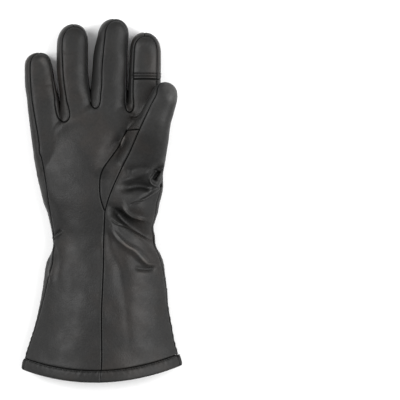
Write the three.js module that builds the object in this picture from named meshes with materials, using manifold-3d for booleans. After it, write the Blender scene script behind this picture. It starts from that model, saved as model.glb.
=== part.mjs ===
// A padded leather gauntlet glove for the right hand, lying on its back with the palm up.
//
// Frame: +Z up, +Y from the cuff's mouth to the fingertips, +X to the thumb's side, in millimetres.
// The glove is one hollow shell: a body loft for the cuff and hand, four finger lofts and a thumb
// loft are joined, and the same lofts drawn in by the wall's thickness are taken away. The shell is
// then cut along its seams into the leather panels that a glove maker sews together.
import * as THREE from "three";
import { mergeVertices } from "three/addons/utils/BufferGeometryUtils.js";
import Module from "manifold-3d";

const wasm = await Module();
wasm.setup();

// Cuff and hand
const cuffLength = 137; // hem's lowest point to the wrist
const palmLength = 117; // wrist to the knuckle line, where the fingers start
const mouthWidth = 151;
const mouthHeight = 44;
const wristWidth = 97;
const wristHeight = 36;
const palmWidth = 124;
const heelHeight = 38; // the heel of the hand
const knuckleHeight = 27;
const palmOffset = -7.4; // the palm's middle from the cuff's middle
const wristOffset = 1.4;
const sideHeight = 13; // the widest line of hand, cuff and fingers, above the floor
const hemBow = 12.5; // how far the hem's corners are drawn up from its middle
const hemSkew = 2; // the thumb side's corner is this much higher, the other this much lower
const knuckleBow = 30; // how far the knuckle line falls away at the sides
const webLength = 12; // the rounded edge between two fingers

// Leather, seams and hem
const wall = 3; // leather with its padded lining
const seamGap = 0.3;
const lowSeamHeight = 4; // the seam between a finger's side wall and its back
const hemHeight = 11;
const hemProud = 0.8; // the hem is folded double, so it stands this much proud
const floorPress = 2.5; // how much of the padding's roundness the floor presses flat

// Fingers, from the knuckle line
const littleLength = 56.5;
const littleWidth = 29;
const littleHeight = 24.5;
const ringLength = 83.5;
const ringWidth = 29.5;
const ringHeight = 26;
const middleLength = 88.5;
const middleWidth = 32.5;
const middleHeight = 27;
const indexLength = 75.5;
const indexWidth = 30.5;
const indexHeight = 26;

// Thumb, from its root in the heel of the hand
const thumbLength = 83.5;
const thumbWidth = 30;
const thumbDepth = 25;
const thumbRootHeight = 23; // the middle of the root above the floor
const thumbTipHeight = 37; // the middle of the tip above the floor
const thumbRootInset = 21.3; // the root's middle from the palm's thumb-side edge
const thumbRootAlong = 66; // the root from the wrist
const thumbLean = 21.6; // degrees outwards from the fingers

// The cuff by rows from the hem's lowest point (0) to the wrist (1). left and right: share of the
// flare from the wrist's edge to the mouth's corner. rise: share of the height from wrist to mouth.
// pinch: how sharp the sides are. seamLeft and seamRight: the side seams from the edges, as shares
// of mouthWidth.
const cuffRows = [
  { at: 0.0, left: 1.0, right: 1.0, rise: 1.0, pinch: 0.85, seamLeft: 0.01, seamRight: 0.01 },
  { at: 0.09, left: 1.0, right: 1.0, rise: 1.0, pinch: 0.84, seamLeft: 0.01, seamRight: 0.01 },
  { at: 0.16, left: 0.94, right: 0.92, rise: 0.97, pinch: 0.82, seamLeft: 0.011, seamRight: 0.009 },
  { at: 0.27, left: 0.77, right: 0.75, rise: 0.9, pinch: 0.79, seamLeft: 0.009, seamRight: 0.009 },
  { at: 0.38, left: 0.6, right: 0.64, rise: 0.8, pinch: 0.76, seamLeft: 0.011, seamRight: 0.009 },
  { at: 0.5, left: 0.46, right: 0.52, rise: 0.68, pinch: 0.72, seamLeft: 0.017, seamRight: 0.009 },
  { at: 0.63, left: 0.34, right: 0.46, rise: 0.52, pinch: 0.68, seamLeft: 0.025, seamRight: 0.009 },
  { at: 0.74, left: 0.27, right: 0.38, rise: 0.36, pinch: 0.64, seamLeft: 0.036, seamRight: 0.01 },
  { at: 0.82, left: 0.2, right: 0.32, rise: 0.24, pinch: 0.62, seamLeft: 0.042, seamRight: 0.016 },
  { at: 0.88, left: 0.05, right: 0.19, rise: 0.14, pinch: 0.6, seamLeft: 0.016, seamRight: 0.014 },
  { at: 0.93, left: -0.02, right: 0.04, rise: 0.07, pinch: 0.58, seamLeft: 0.01, seamRight: 0.01 },
  { at: 1.0, left: 0.0, right: 0.0, rise: 0.0, pinch: 0.56, seamLeft: 0.01, seamRight: 0.01 },
];

// The hand by rows from the wrist (0) to the knuckle line (1). left and right: share of the way from
// the wrist's edge to the palm's. bulge: the thumb side's extra, as a share of palmWidth.
// seamLeft and seamRight: the seams from the edges, as shares of palmWidth.
const palmRows = [
  { at: 0.0, left: 0.0, right: 0.0, bulge: 0.0, seamLeft: 0.012, seamRight: 0.012 },
  { at: 0.07, left: 0.07, right: 0.0, bulge: -0.01, seamLeft: 0.018, seamRight: 0.012 },
  { at: 0.13, left: 0.14, right: 0.2, bulge: -0.002, seamLeft: 0.021, seamRight: 0.012 },
  { at: 0.19, left: 0.22, right: 0.5, bulge: 0.005, seamLeft: 0.027, seamRight: 0.018 },
  { at: 0.26, left: 0.37, right: 0.7, bulge: 0.009, seamLeft: 0.043, seamRight: 0.023 },
  { at: 0.32, left: 0.45, right: 0.9, bulge: 0.017, seamLeft: 0.05, seamRight: 0.022 },
  { at: 0.39, left: 0.54, right: 1.0, bulge: 0.024, seamLeft: 0.057, seamRight: 0.016 },
  { at: 0.47, left: 0.64, right: 1.0, bulge: 0.024, seamLeft: 0.063, seamRight: 0.016 },
  { at: 0.57, left: 0.74, right: 1.0, bulge: 0.022, seamLeft: 0.063, seamRight: 0.016 },
  { at: 0.7, left: 0.86, right: 1.0, bulge: 0.015, seamLeft: 0.061, seamRight: 0.016 },
  { at: 0.86, left: 0.94, right: 1.0, bulge: 0.006, seamLeft: 0.052, seamRight: 0.018 },
  { at: 1.0, left: 1.0, right: 1.0, bulge: 0.0, seamLeft: 0.044, seamRight: 0.018 },
];

// Each finger: base is its middle on the knuckle line, as a share of palmWidth from the little
// finger's edge. Rows run along the finger: sway is the middle's shift and wide the width, as shares
// of the finger's width; left and right are the palm-side seams, as shares of the half width.
// dome is where the tip starts to round off, and tipSeam where the seam passes over the tip.
const fingers = {
  little: {
    base: 0.118,
    length: littleLength,
    width: littleWidth,
    height: littleHeight,
    dome: 0.78,
    tipSeam: 0.975,
    rows: [
      { at: -0.75, sway: 0.17, wide: 1.05, left: -0.52, right: 0.75 },
      { at: -0.35, sway: 0.09, wide: 1.07, left: -0.56, right: 0.77 },
      { at: 0.0, sway: 0.01, wide: 1.08, left: -0.62, right: 0.79 },
      { at: 0.23, sway: -0.05, wide: 1.04, left: -0.66, right: 0.8 },
      { at: 0.44, sway: -0.13, wide: 1.0, left: -0.6, right: 0.86 },
      { at: 0.7, sway: -0.18, wide: 0.92, left: -0.59, right: 0.92 },
      { at: 0.84, sway: -0.2, wide: 0.87, left: -0.56, right: 0.9 },
      { at: 1.0, sway: -0.17, wide: 0.85, left: -0.56, right: 0.9 },
    ],
  },
  ring: {
    base: 0.361,
    length: ringLength,
    width: ringWidth,
    height: ringHeight,
    dome: 0.76,
    tipSeam: 0.96,
    rows: [
      { at: 0.0, sway: 0.0, wide: 1.06, left: -0.56, right: 0.84 },
      { at: 0.16, sway: -0.01, wide: 1.01, left: -0.6, right: 0.9 },
      { at: 0.3, sway: -0.07, wide: 0.98, left: -0.62, right: 0.94 },
      { at: 0.48, sway: -0.12, wide: 1.0, left: -0.59, right: 0.95 },
      { at: 0.76, sway: -0.12, wide: 1.0, left: -0.64, right: 0.95 },
      { at: 1.0, sway: -0.08, wide: 0.98, left: -0.62, right: 0.95 },
    ],
  },
  middle: {
    base: 0.612,
    length: middleLength,
    width: middleWidth,
    height: middleHeight,
    dome: 0.8,
    tipSeam: 0.975,
    rows: [
      { at: 0.0, sway: 0.0, wide: 1.1, left: -0.46, right: 0.86 },
      { at: 0.15, sway: 0.0, wide: 1.08, left: -0.46, right: 0.87 },
      { at: 0.28, sway: 0.0, wide: 1.04, left: -0.4, right: 0.92 },
      { at: 0.45, sway: 0.02, wide: 1.02, left: -0.43, right: 0.93 },
      { at: 0.66, sway: 0.05, wide: 0.97, left: -0.42, right: 0.94 },
      { at: 0.83, sway: 0.12, wide: 0.91, left: -0.5, right: 0.95 },
      { at: 1.0, sway: 0.15, wide: 0.9, left: -0.52, right: 0.95 },
    ],
  },
  index: {
    base: 0.883,
    length: indexLength,
    width: indexWidth,
    height: indexHeight,
    dome: 0.76,
    tipSeam: 0.945,
    rows: [
      { at: 0.0, sway: 0.0, wide: 1.08, left: -0.66, right: 0.74 },
      { at: 0.16, sway: 0.0, wide: 1.05, left: -0.68, right: 0.75 },
      { at: 0.3, sway: 0.0, wide: 1.0, left: -0.71, right: 0.77 },
      { at: 0.5, sway: 0.01, wide: 0.99, left: -0.72, right: 0.77 },
      { at: 0.76, sway: 0.03, wide: 0.95, left: -0.74, right: 0.77 },
      { at: 1.0, sway: 0.0, wide: 0.93, left: -0.75, right: 0.77 },
    ],
  },
};
const touchSeam = 0.41; // the index tip's cross seam, as a share of the finger's length

// The thumb by rows from its root (0) to its tip (1). wide and deep: shares of thumbWidth and
// thumbDepth. climb: share of the way from the root's height to the tip's.
const thumbRows = [
  { at: -0.65, wide: 1.95, deep: 0.7, climb: -0.55 },
  { at: -0.3, wide: 1.85, deep: 0.9, climb: -0.35 },
  { at: 0.0, wide: 1.7, deep: 1.08, climb: 0.0 },
  { at: 0.26, wide: 1.42, deep: 1.16, climb: 0.45 },
  { at: 0.38, wide: 1.27, deep: 1.16, climb: 0.72 },
  { at: 0.57, wide: 1.02, deep: 1.08, climb: 0.97 },
  { at: 0.71, wide: 0.93, deep: 1.0, climb: 1.0 },
  { at: 0.81, wide: 0.87, deep: 0.97, climb: 1.0 },
  { at: 1.0, wide: 0.84, deep: 0.95, climb: 1.0 },
];
const thumbDome = 0.78;
const thumbStart = -0.3; // the loft starts inside the hand, at this share of the thumb's length

// The thumb's seams in its own frame: along is a share of its length, side of its half width.
const thumbSeam = [
  { along: 1.08, side: -0.3 },
  { along: 0.92, side: -0.66 },
  { along: 0.82, side: -0.57 },
  { along: 0.7, side: -0.61 },
  { along: 0.58, side: -0.6 },
  { along: 0.36, side: -0.52 },
  { along: 0.11, side: -0.46 },
  { along: -0.08, side: -0.48 },
  { along: -0.34, side: -0.48 },
  { along: -0.48, side: -0.46 },
  { along: -0.62, side: -0.4 },
];
const gussetSeam = [
  { along: 0.37, side: -1.1 },
  { along: 0.26, side: -1.02 },
  { along: 0.13, side: -0.97 },
  { along: 0.0, side: -1.0 },
  { along: -0.15, side: -1.06 },
  { along: -0.25, side: -1.03 },
  { along: -0.33, side: -0.95 },
  { along: -0.48, side: -0.73 },
];
const gussetTop = 0.365; // the cross seam between the gusset and the thumb's back

// The middle seam of the cuff, from the gusset's foot (0) to the hem (1): x as a share of mouthWidth.
const middleSeam = [
  { at: 0.15, x: 0.016 },
  { at: 0.35, x: 0.012 },
  { at: 0.6, x: 0.002 },
  { at: 0.85, x: 0.004 },
  { at: 1.0, x: -0.003 },
];

// Main dents and folds of the palm side. x is from the cuff's middle as a share of palmWidth, y from
// the wrist as a share of palmLength; long, wide and lift are shares of palmWidth.
const folds = [
  { name: "thumb dimple", x: 0.425, y: 0.53, angle: 40, long: 0.05, wide: 0.038, lift: -0.055 },
  { name: "valley over wrist fold", x: 0.244, y: 0.42, angle: 14, long: 0.13, wide: 0.036, lift: -0.022 },
  { name: "wrist fold", x: 0.36, y: 0.36, angle: 31, long: 0.1, wide: 0.03, lift: 0.016 },
  { name: "pad below the fold", x: 0.3, y: 0.25, angle: 0, long: 0.07, wide: 0.06, lift: 0.016 },
  { name: "wrist valley", x: 0.221, y: 0.129, angle: -23, long: 0.16, wide: 0.05, lift: -0.034 },
  { name: "cuff crease", x: 0.335, y: -0.234, angle: -20, long: 0.07, wide: 0.03, lift: -0.014 },
  { name: "hollow beside the gusset", x: 0.1, y: 0.72, angle: 53, long: 0.17, wide: 0.09, lift: -0.03 },
  { name: "outer wrist crease", x: -0.41, y: 0.26, angle: -67, long: 0.1, wide: 0.035, lift: -0.02 },
];

const leather = new THREE.MeshStandardMaterial({ color: 0x3b3b3b, roughness: 0.55, metalness: 0 });
const touchLeather = new THREE.MeshStandardMaterial({ color: 0x434343, roughness: 0.5, metalness: 0 });

const lerp = THREE.MathUtils.lerp;
const smooth = (from, to, value) => THREE.MathUtils.smoothstep(value, from, to);

// A table's column read at any place between its rows, on a smooth curve through them.
function read(rows, column, at) {
  const last = rows.length - 1;
  if (at <= rows[0].at) return rows[0][column];
  if (at >= rows[last].at) return rows[last][column];
  const i = rows.findIndex((row) => row.at > at) - 1;
  const slope = (k) => {
    const [a, b] = [rows[Math.max(k - 1, 0)], rows[Math.min(k + 1, last)]];
    return (b[column] - a[column]) / (b.at - a.at);
  };
  const span = rows[i + 1].at - rows[i].at;
  const t = (at - rows[i].at) / span;
  const [t2, t3] = [t * t, t * t * t];
  return (
    rows[i][column] * (2 * t3 - 3 * t2 + 1) +
    rows[i + 1][column] * (3 * t2 - 2 * t3) +
    span * slope(i) * (t3 - 2 * t2 + t) +
    span * slope(i + 1) * (t3 - t2)
  );
}

// How far the folds lift or sink the palm side at a place.
function relief(x, y) {
  let lift = 0;
  for (const fold of folds) {
    const [dx, dy] = [x - fold.x * palmWidth, y - cuffLength - fold.y * palmLength];
    const turn = THREE.MathUtils.degToRad(fold.angle);
    const along = (dx * Math.cos(turn) + dy * Math.sin(turn)) / (fold.long * palmWidth);
    const across = (dy * Math.cos(turn) - dx * Math.sin(turn)) / (fold.wide * palmWidth);
    lift += fold.lift * palmWidth * Math.exp(-along * along - across * across);
  }
  return lift;
}

const knuckleLine = cuffLength + palmLength;
const palmLeft = palmOffset - palmWidth / 2;
const palmRight = palmOffset + palmWidth / 2;
const wristLeft = wristOffset - wristWidth / 2;
const wristRight = wristOffset + wristWidth / 2;

// The roundness of the sections: a higher fullness is squarer, and a pinch of 0.5 is a round side.
const cuffFullness = 2.2;
const palmFullness = 2.7;
const wristPinch = cuffRows[cuffRows.length - 1].pinch;
const palmPinch = 0.5;
const heelAt = 0.3; // the hand's thickest place, as a share of palmLength from the wrist
const knucklesAt = 0.95; // where it has come down to knuckleHeight
const foldFade = 0.7; // the folds fade out at the sides, under this share of the section's height

// How far the knuckle line has fallen away at a place across the hand, from -1 to 1.
const knuckleApex = 0.18;
const knuckleFade = 0.15; // the fall starts this far from the wrist, as a share of palmLength
const knuckleFall = (across) => knuckleBow * (across - knuckleApex) ** 2;

// The edges of cuff and hand seen from above, at a distance y from the hem's lowest point, and how
// far in from them the side seams run.
function edges(y) {
  if (y < cuffLength) {
    const at = y / cuffLength;
    return {
      left: lerp(wristLeft, -mouthWidth / 2, read(cuffRows, "left", at)),
      right: lerp(wristRight, mouthWidth / 2, read(cuffRows, "right", at)),
      seamLeft: read(cuffRows, "seamLeft", at) * mouthWidth,
      seamRight: read(cuffRows, "seamRight", at) * mouthWidth,
    };
  }
  const at = (y - cuffLength) / palmLength;
  const bulge = read(palmRows, "bulge", at) * palmWidth;
  return {
    left: lerp(wristLeft, palmLeft, read(palmRows, "left", at)),
    right: lerp(wristRight, palmRight, read(palmRows, "right", at)) + bulge,
    seamLeft: read(palmRows, "seamLeft", at) * palmWidth,
    seamRight: read(palmRows, "seamRight", at) * palmWidth,
  };
}

// The height and roundness of cuff and hand at a distance from the hem.
function depth(along) {
  const at = along / cuffLength;
  if (at < 1) {
    const height = lerp(wristHeight, mouthHeight, read(cuffRows, "rise", at));
    return { height, pinch: read(cuffRows, "pinch", at), fullness: cuffFullness };
  }
  const inHand = (along - cuffLength) / palmLength;
  const heel = lerp(wristHeight, heelHeight, smooth(0, heelAt, inHand));
  return {
    height: lerp(heel, knuckleHeight, smooth(heelAt, knucklesAt, inHand)),
    pinch: lerp(wristPinch, palmPinch, smooth(0, 0.5, inHand)),
    fullness: lerp(cuffFullness, palmFullness, smooth(0, 0.8, inHand)),
  };
}

// How far a place across the hand is shifted along it: up at the hem's corners, back at the knuckles'.
function bow(along, across) {
  const hem = (hemBow * across * across + hemSkew * across) * (1 - smooth(0, cuffLength, along));
  const fade = smooth(cuffLength + knuckleFade * palmLength, knuckleLine, along);
  return hem - knuckleFall(across) * fade;
}

// One ring of the cuff and hand. inset draws it in by the wall's thickness; closing, from 0 to 1,
// rounds off the end between the fingers.
const bodySides = 30;
function bodyRing(along, inset, closing = 0) {
  const s = depth(along);
  const left = edges(along + bow(along, -1)).left;
  const right = edges(along + bow(along, 1)).right;
  const middle = (left + right) / 2;
  const half = (right - left) / 2;
  const tall = Math.sqrt(1 - closing * closing);
  const end = along + closing * (webLength - inset);
  return Array.from({ length: bodySides }, (_, i) => {
    const angle = (2 * Math.PI * i) / bodySides;
    const across = Math.cos(angle);
    const profile = Math.max(0, 1 - Math.abs(across) ** s.fullness) ** s.pinch * tall;
    const x = middle + (half - inset) * across;
    const y = end + bow(along, (x - middle) / half);
    if (Math.sin(angle) > 0) {
      const lift = relief(x, y) * smooth(0, foldFade, profile);
      return new THREE.Vector3(x, y, sideHeight + (s.height - sideHeight - inset) * profile + lift);
    }
    const drop = sideHeight - (sideHeight + floorPress - inset) * profile;
    return new THREE.Vector3(x, y, Math.max(inset, drop, 0));
  });
}

// A closed solid through rings of points that all have the same number of sides. Each end is a strip
// from the ring's upper points to its lower ones, so that a bowed end stays inside the rings.
function skin(rings) {
  const sides = rings[0].length;
  const faces = [];
  const quad = (a, b, c, d) => faces.push(a, b, c, a, c, d);
  for (let r = 0; r + 1 < rings.length; r++)
    for (let i = 0; i < sides; i++) {
      const next = (i + 1) % sides;
      quad(rings[r][i], rings[r][next], rings[r + 1][next], rings[r + 1][i]);
    }
  const [first, last] = [rings[0], rings[rings.length - 1]];
  for (let i = 0; i < sides / 2; i++) {
    const under = (sides - i) % sides;
    quad(first[i], first[under], first[under - 1] ?? first[sides - 1], first[i + 1]);
    quad(last[i], last[i + 1], last[sides - i - 1], last[under]);
  }
  return solid(new THREE.BufferGeometry().setFromPoints(faces));
}

// A closed geometry as a solid that can be joined and cut.
function solid(geometry) {
  geometry.deleteAttribute("normal");
  geometry.deleteAttribute("uv");
  const merged = mergeVertices(geometry, 1e-4);
  const triangles = [];
  for (let i = 0; i < merged.index.count; i += 3) {
    const [a, b, c] = merged.index.array.slice(i, i + 3);
    if (a !== b && b !== c && c !== a) triangles.push(a, b, c);
  }
  return new wasm.Manifold(
    new wasm.Mesh({
      numProp: 3,
      vertProperties: merged.attributes.position.array,
      triVerts: new Uint32Array(triangles),
    }),
  );
}

const joined = (parts) => parts.reduce((all, part) => all.add(part));

// The largest body of a cut: a cut along a curved seam can leave slivers behind it.
function largest(cut) {
  return cut.decompose().reduce((best, body) => (body.volume() > best.volume() ? body : best));
}

// An upright cutter over an outline seen from above, grown on all sides by a margin.
const cutterTop = 120;
function cutter(outline, low, margin = 0) {
  const shape = new THREE.Shape(margin ? grown(outline, margin) : outline);
  const upright = { depth: cutterTop - low + margin, bevelEnabled: false };
  return solid(new THREE.ExtrudeGeometry(shape, upright).translate(0, 0, low - margin));
}

// An outline moved outwards by a margin along its corners' normals.
function grown(outline, margin) {
  const sign = THREE.ShapeUtils.area(outline) > 0 ? 1 : -1;
  return outline.map((point, i) => {
    const before = outline[(i + outline.length - 1) % outline.length];
    const after = outline[(i + 1) % outline.length];
    const [a, b] = [point.clone().sub(before).normalize(), after.clone().sub(point).normalize()];
    const normal = new THREE.Vector2(a.y + b.y, -a.x - b.x).normalize().multiplyScalar(sign);
    const spread = Math.max(0.5, Math.abs(normal.x * a.y - normal.y * a.x));
    return point.clone().addScaledVector(normal, margin / spread);
  });
}

// A place on a finger seen from above: along is a share of its length, side of its half width.
function fingerPlace(finger, along, side) {
  const x = palmLeft + finger.base * palmWidth + read(finger.rows, "sway", along) * finger.width;
  const half = (read(finger.rows, "wide", along) * finger.width) / 2;
  return new THREE.Vector2(x + side * half, knuckleLine + along * finger.length);
}

// How far a finger reaches back into the palm, past the fallen knuckle line at its outer edge, as a
// share of its length.
function rootReach(finger) {
  const middle = 2 * finger.base - 1;
  const side = finger.width / palmWidth;
  const fall = Math.max(knuckleFall(middle - side), knuckleFall(middle + side));
  return (fall + 2 * webLength) / finger.length;
}

// How much of its full section a tip still has, where it rounds off from the dome's start to its end.
const tipRoundness = 2.3;
function tipShare(at, dome) {
  const t = Math.min(1, Math.max(0, (at - dome) / (1 - dome)));
  return (1 - t ** tipRoundness) ** (1 / tipRoundness);
}

// A round-cornered ring across a finger or the thumb, standing upright on its way across.
const digitSides = 12;
const digitFullness = 2.5;
function digitRing({ middle, way, half, up, down, floor, edge }) {
  return Array.from({ length: digitSides }, (_, i) => {
    const angle = (2 * Math.PI * i) / digitSides;
    const across = Math.cos(angle);
    const profile = Math.max(0, 1 - Math.abs(across) ** digitFullness) ** (1 / digitFullness);
    const x = middle.x + way.x * half * across;
    const y = middle.y + way.y * half * across;
    if (Math.sin(angle) > 0) {
      const lift = relief(x, y) * smooth(0, foldFade, profile);
      return new THREE.Vector3(x, y, edge + up * profile + lift);
    }
    return new THREE.Vector3(x, y, Math.max(floor, edge - down * profile));
  });
}

const fingerSteps = [0, 0.2, 0.4, 0.6, 0.78, 0.87, 0.93, 0.97, 0.995];
// A finger's buried root swells out of the palm: reach is a share of its reach back into the palm,
// size a share of its section.
const rootRows = [
  { reach: 1, size: 0.55 },
  { reach: 0.8, size: 0.85 },
  { reach: 0.6, size: 0.98 },
  { reach: 0.3, size: 1 },
];
function fingerLoft(finger, inset) {
  const reach = 1 - inset / finger.length;
  const ring = (at, share) => {
    const half = (fingerPlace(finger, at, 1).x - fingerPlace(finger, at, -1).x) / 2 - inset;
    return digitRing({
      middle: fingerPlace(finger, at, 0),
      way: { x: 1, y: 0 },
      half: half * share,
      up: (finger.height - sideHeight - inset) * share,
      down: (sideHeight + floorPress - inset) * share,
      floor: inset,
      edge: sideHeight,
    });
  };
  const rings = fingerSteps.map((step) => ring(step * reach, tipShare(step, finger.dome)));
  const roots = rootRows.map(({ reach: back, size }) => ring(-back * rootReach(finger), size));
  return skin([...roots, ...rings].reverse());
}

const thumbTurn = THREE.MathUtils.degToRad(thumbLean);
const thumbWay = new THREE.Vector2(Math.sin(thumbTurn), Math.cos(thumbTurn));
const thumbAcross = new THREE.Vector2(Math.cos(thumbTurn), -Math.sin(thumbTurn));
const thumbRoot = new THREE.Vector2(palmRight - thumbRootInset, cuffLength + thumbRootAlong);

// A place on the thumb seen from above: along is a share of its length, side of its half width.
function thumbPlace(along, side) {
  const half = (read(thumbRows, "wide", along) * thumbWidth) / 2;
  const middle = thumbRoot.clone().addScaledVector(thumbWay, along * thumbLength);
  return middle.addScaledVector(thumbAcross, side * half);
}

// The height of the thumb's widest line.
function thumbMiddleHeight(along) {
  return lerp(thumbRootHeight, thumbTipHeight, read(thumbRows, "climb", along));
}

const thumbSteps = [0, 0.15, 0.3, 0.42, 0.54, 0.68, 0.78, 0.87, 0.94, 0.98, 0.997];
function thumbLoft(inset) {
  const reach = 1 - inset / thumbLength;
  const rings = [thumbStart, thumbStart / 2, ...thumbSteps].map((step) => {
    const at = step > 0 ? step * reach : step;
    const share = tipShare(step, thumbDome);
    const halfDepth = (read(thumbRows, "deep", at) * thumbDepth) / 2 - inset;
    return digitRing({
      middle: thumbPlace(at, 0),
      way: thumbAcross,
      half: ((read(thumbRows, "wide", at) * thumbWidth) / 2 - inset) * share,
      up: halfDepth * share,
      down: halfDepth * share,
      floor: inset,
      edge: thumbMiddleHeight(at),
    });
  });
  return skin(rings.reverse());
}

// The cuff and hand without the hem. The cavity's loft runs out past the mouth.
const cuffSteps = [0.25, 0.43, 0.6, 0.74, 0.84, 0.93];
const palmSteps = [0, 0.08, 0.16, 0.24, 0.32, 0.4, 0.48, 0.56, 0.66, 0.78, 0.9, 1];
const closingSteps = [0.5, 0.85, 0.985];
const mouthOverrun = 20;
function bodyLoft(inset) {
  const start = inset ? -mouthOverrun : hemHeight + seamGap;
  const inCuff = cuffSteps.map((step) => step * cuffLength);
  const inHand = palmSteps.map((step) => cuffLength + step * palmLength);
  const rings = [start, ...inCuff, ...inHand].map((along) => bodyRing(along, inset));
  rings.push(...closingSteps.map((closing) => bodyRing(knuckleLine, inset, closing)));
  return skin(rings.reverse());
}

// The hem: the cuff's edge folded double into a band all round the mouth, with a rolled lower edge.
function hemBand() {
  const section = [
    { along: 0.1, proud: -wall },
    { along: 0.0, proud: -wall * 0.6 },
    { along: 0.0, proud: 0 },
    { along: 0.12, proud: hemProud },
    { along: 0.85, proud: hemProud },
    { along: 1.0, proud: 0 },
    { along: 1.0, proud: -wall },
  ];
  const rings = section.map(({ along, proud }) => bodyRing(along * hemHeight, -proud));
  const faces = [];
  rings.forEach((ring, r) => {
    const other = rings[(r + 1) % rings.length];
    ring.forEach((point, i) => {
      const next = (i + 1) % bodySides;
      faces.push(point, other[next], ring[next], point, other[i], other[next]);
    });
  });
  return solid(new THREE.BufferGeometry().setFromPoints(faces));
}

// The seams seen from above
const steps = (count) => Array.from({ length: count + 1 }, (_, i) => i / count);
const curveThrough = (points, count) => new THREE.SplineCurve(points).getPoints(count);

// The side seam of cuff and hand between two distances from the hem, on the left (-1) or right (1).
function sideSeam(side, from, to) {
  return steps(14).map((step) => {
    const y = lerp(from, to, step);
    const { left, right, seamLeft, seamRight } = edges(y);
    return new THREE.Vector2(side < 0 ? left + seamLeft : right - seamRight, y);
  });
}

const onThumb = (rows) => rows.map(({ along, side }) => thumbPlace(along, side));
const thumbSeamCurve = curveThrough(onThumb(thumbSeam), 24);
const gussetFoot = thumbSeamCurve[thumbSeamCurve.length - 1];
const gussetCurve = curveThrough([...onThumb(gussetSeam), gussetFoot], 18);
const onCuff = middleSeam.map(({ at, x }) => new THREE.Vector2(x * mouthWidth, lerp(gussetFoot.y, 0, at)));
const middleSeamCurve = curveThrough([gussetFoot, ...onCuff], 9).slice(1);
const pastMouth = (x) => new THREE.Vector2(x, -mouthOverrun);

// The thumb panel: the thumb's front, the heel of the hand and the thumb side of the cuff, in one.
// Below the thumb's root it goes down to the side seam, and past it to the thumb's widest line.
const outside = palmRight + thumbLength;
const dimpleAt = 0.42; // where the panel's edge leaves the side seam, as a share of palmLength
const dimpleAlong = cuffLength + dimpleAt * palmLength;
const thumbPanelOutline = [
  new THREE.Vector2(outside, thumbSeamCurve[0].y),
  ...thumbSeamCurve,
  ...middleSeamCurve,
  pastMouth(middleSeamCurve[middleSeamCurve.length - 1].x),
  pastMouth(mouthWidth / 2),
  ...sideSeam(1, 0, dimpleAlong),
  new THREE.Vector2(outside, dimpleAlong),
];

// The ground under the thumb's widest line, from its root to past its tip, drawn from the side.
const heelShare = -0.12; // where the widest line starts, as a share of the thumb's length
const pastTip = 1.3; // cutters run on past a fingertip to this share of its length
function underThumb(margin) {
  const alongY = (at) => thumbRoot.y + at * thumbLength * thumbWay.y;
  const line = [heelShare, ...thumbSteps].map((at) => {
    return new THREE.Vector2(alongY(at), thumbMiddleHeight(at) - margin);
  });
  line[0].x += margin;
  const [start, end] = [line[0], new THREE.Vector2(alongY(pastTip), line[line.length - 1].y)];
  const floor = [new THREE.Vector2(end.x, -margin), new THREE.Vector2(start.x, -margin)];
  const outline = new THREE.Shape([...line, end, ...floor]);
  const shape = new THREE.ExtrudeGeometry(outline, { depth: 2 * outside, bevelEnabled: false });
  return solid(shape.rotateY(Math.PI / 2).rotateX(Math.PI / 2).translate(-outside / 2, 0, 0));
}

function thumbPanelZone(margin) {
  return cutter(thumbPanelOutline, sideHeight, margin).subtract(underThumb(margin));
}

// The gusset: a leaf between the thumb panel and the palm, up to the cross seam.
const crossSeamY = thumbPlace(gussetTop, -0.8).y;
const below = (points) => points.filter((point) => point.y < crossSeamY);
const gussetOutline = [...below(thumbSeamCurve), ...below(gussetCurve).reverse()];

// The palm and the cuff's other half: between the side seams, up to the line of the finger crotches.
const crotchApex = 0.25; // the crotches' highest place across the hand
const crotchShare = 0.35; // how far into the web the crotches lie
const crotchLine = steps(10).map((step) => {
  const across = lerp(-1, 1, step);
  const y = knuckleLine + crotchShare * webLength - knuckleBow * (across - crotchApex) ** 2;
  const { left, right, seamLeft, seamRight } = edges(y);
  return new THREE.Vector2(lerp(left + seamLeft, right - seamRight, step), y);
});
const palmOutline = [
  pastMouth(-mouthWidth / 2),
  pastMouth(mouthWidth / 2),
  ...sideSeam(1, 0, crotchLine[crotchLine.length - 1].y).slice(0, -1),
  ...crotchLine.slice().reverse(),
  ...sideSeam(-1, 0, crotchLine[0].y).slice(0, -1).reverse(),
];

// A finger's palm-side outline: up one seam, over the tip in an arch, and down the other.
const frontReach = 0.8; // how far back it starts, as a share of the finger's reach into the palm
function fingerFront(finger) {
  const place = (at, column) => fingerPlace(finger, at, read(finger.rows, column, at));
  const start = -frontReach * rootReach(finger);
  const straight = steps(5).map((step) => lerp(start, finger.dome - 0.05, step));
  const arch = steps(8).map((step) => {
    const angle = Math.PI * step;
    const at = lerp(finger.dome - 0.02, finger.tipSeam, Math.sin(angle) ** (2 / tipRoundness));
    const [a, b] = [place(finger.dome, "right").x, place(finger.dome, "left").x];
    const cosine = Math.cos(angle);
    const across = Math.sign(cosine) * Math.abs(cosine) ** (2 / tipRoundness);
    return new THREE.Vector2(lerp(b, a, (1 + across) / 2), knuckleLine + at * finger.length);
  });
  const up = straight.map((at) => place(at, "right"));
  const down = straight.reverse().map((at) => place(at, "left"));
  return [...up, ...arch, ...down];
}

// The strip of ground between two fingers' middle lines.
function between(one, other) {
  const line = (finger) =>
    steps(6).map((step) => fingerPlace(finger, lerp(-rootReach(finger), pastTip, step), 0));
  return [...line(one), ...line(other).reverse()];
}

// The ground beyond the index's cross seam, all of it or only its outer side.
function beyondTouchSeam(from) {
  const low = knuckleLine + touchSeam * indexLength;
  const high = knuckleLine + pastTip * indexLength;
  const start = fingerPlace(fingers.index, touchSeam, from).x;
  return [
    new THREE.Vector2(start, low),
    new THREE.Vector2(outside, low),
    new THREE.Vector2(outside, high),
    new THREE.Vector2(start, high),
  ];
}

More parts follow.
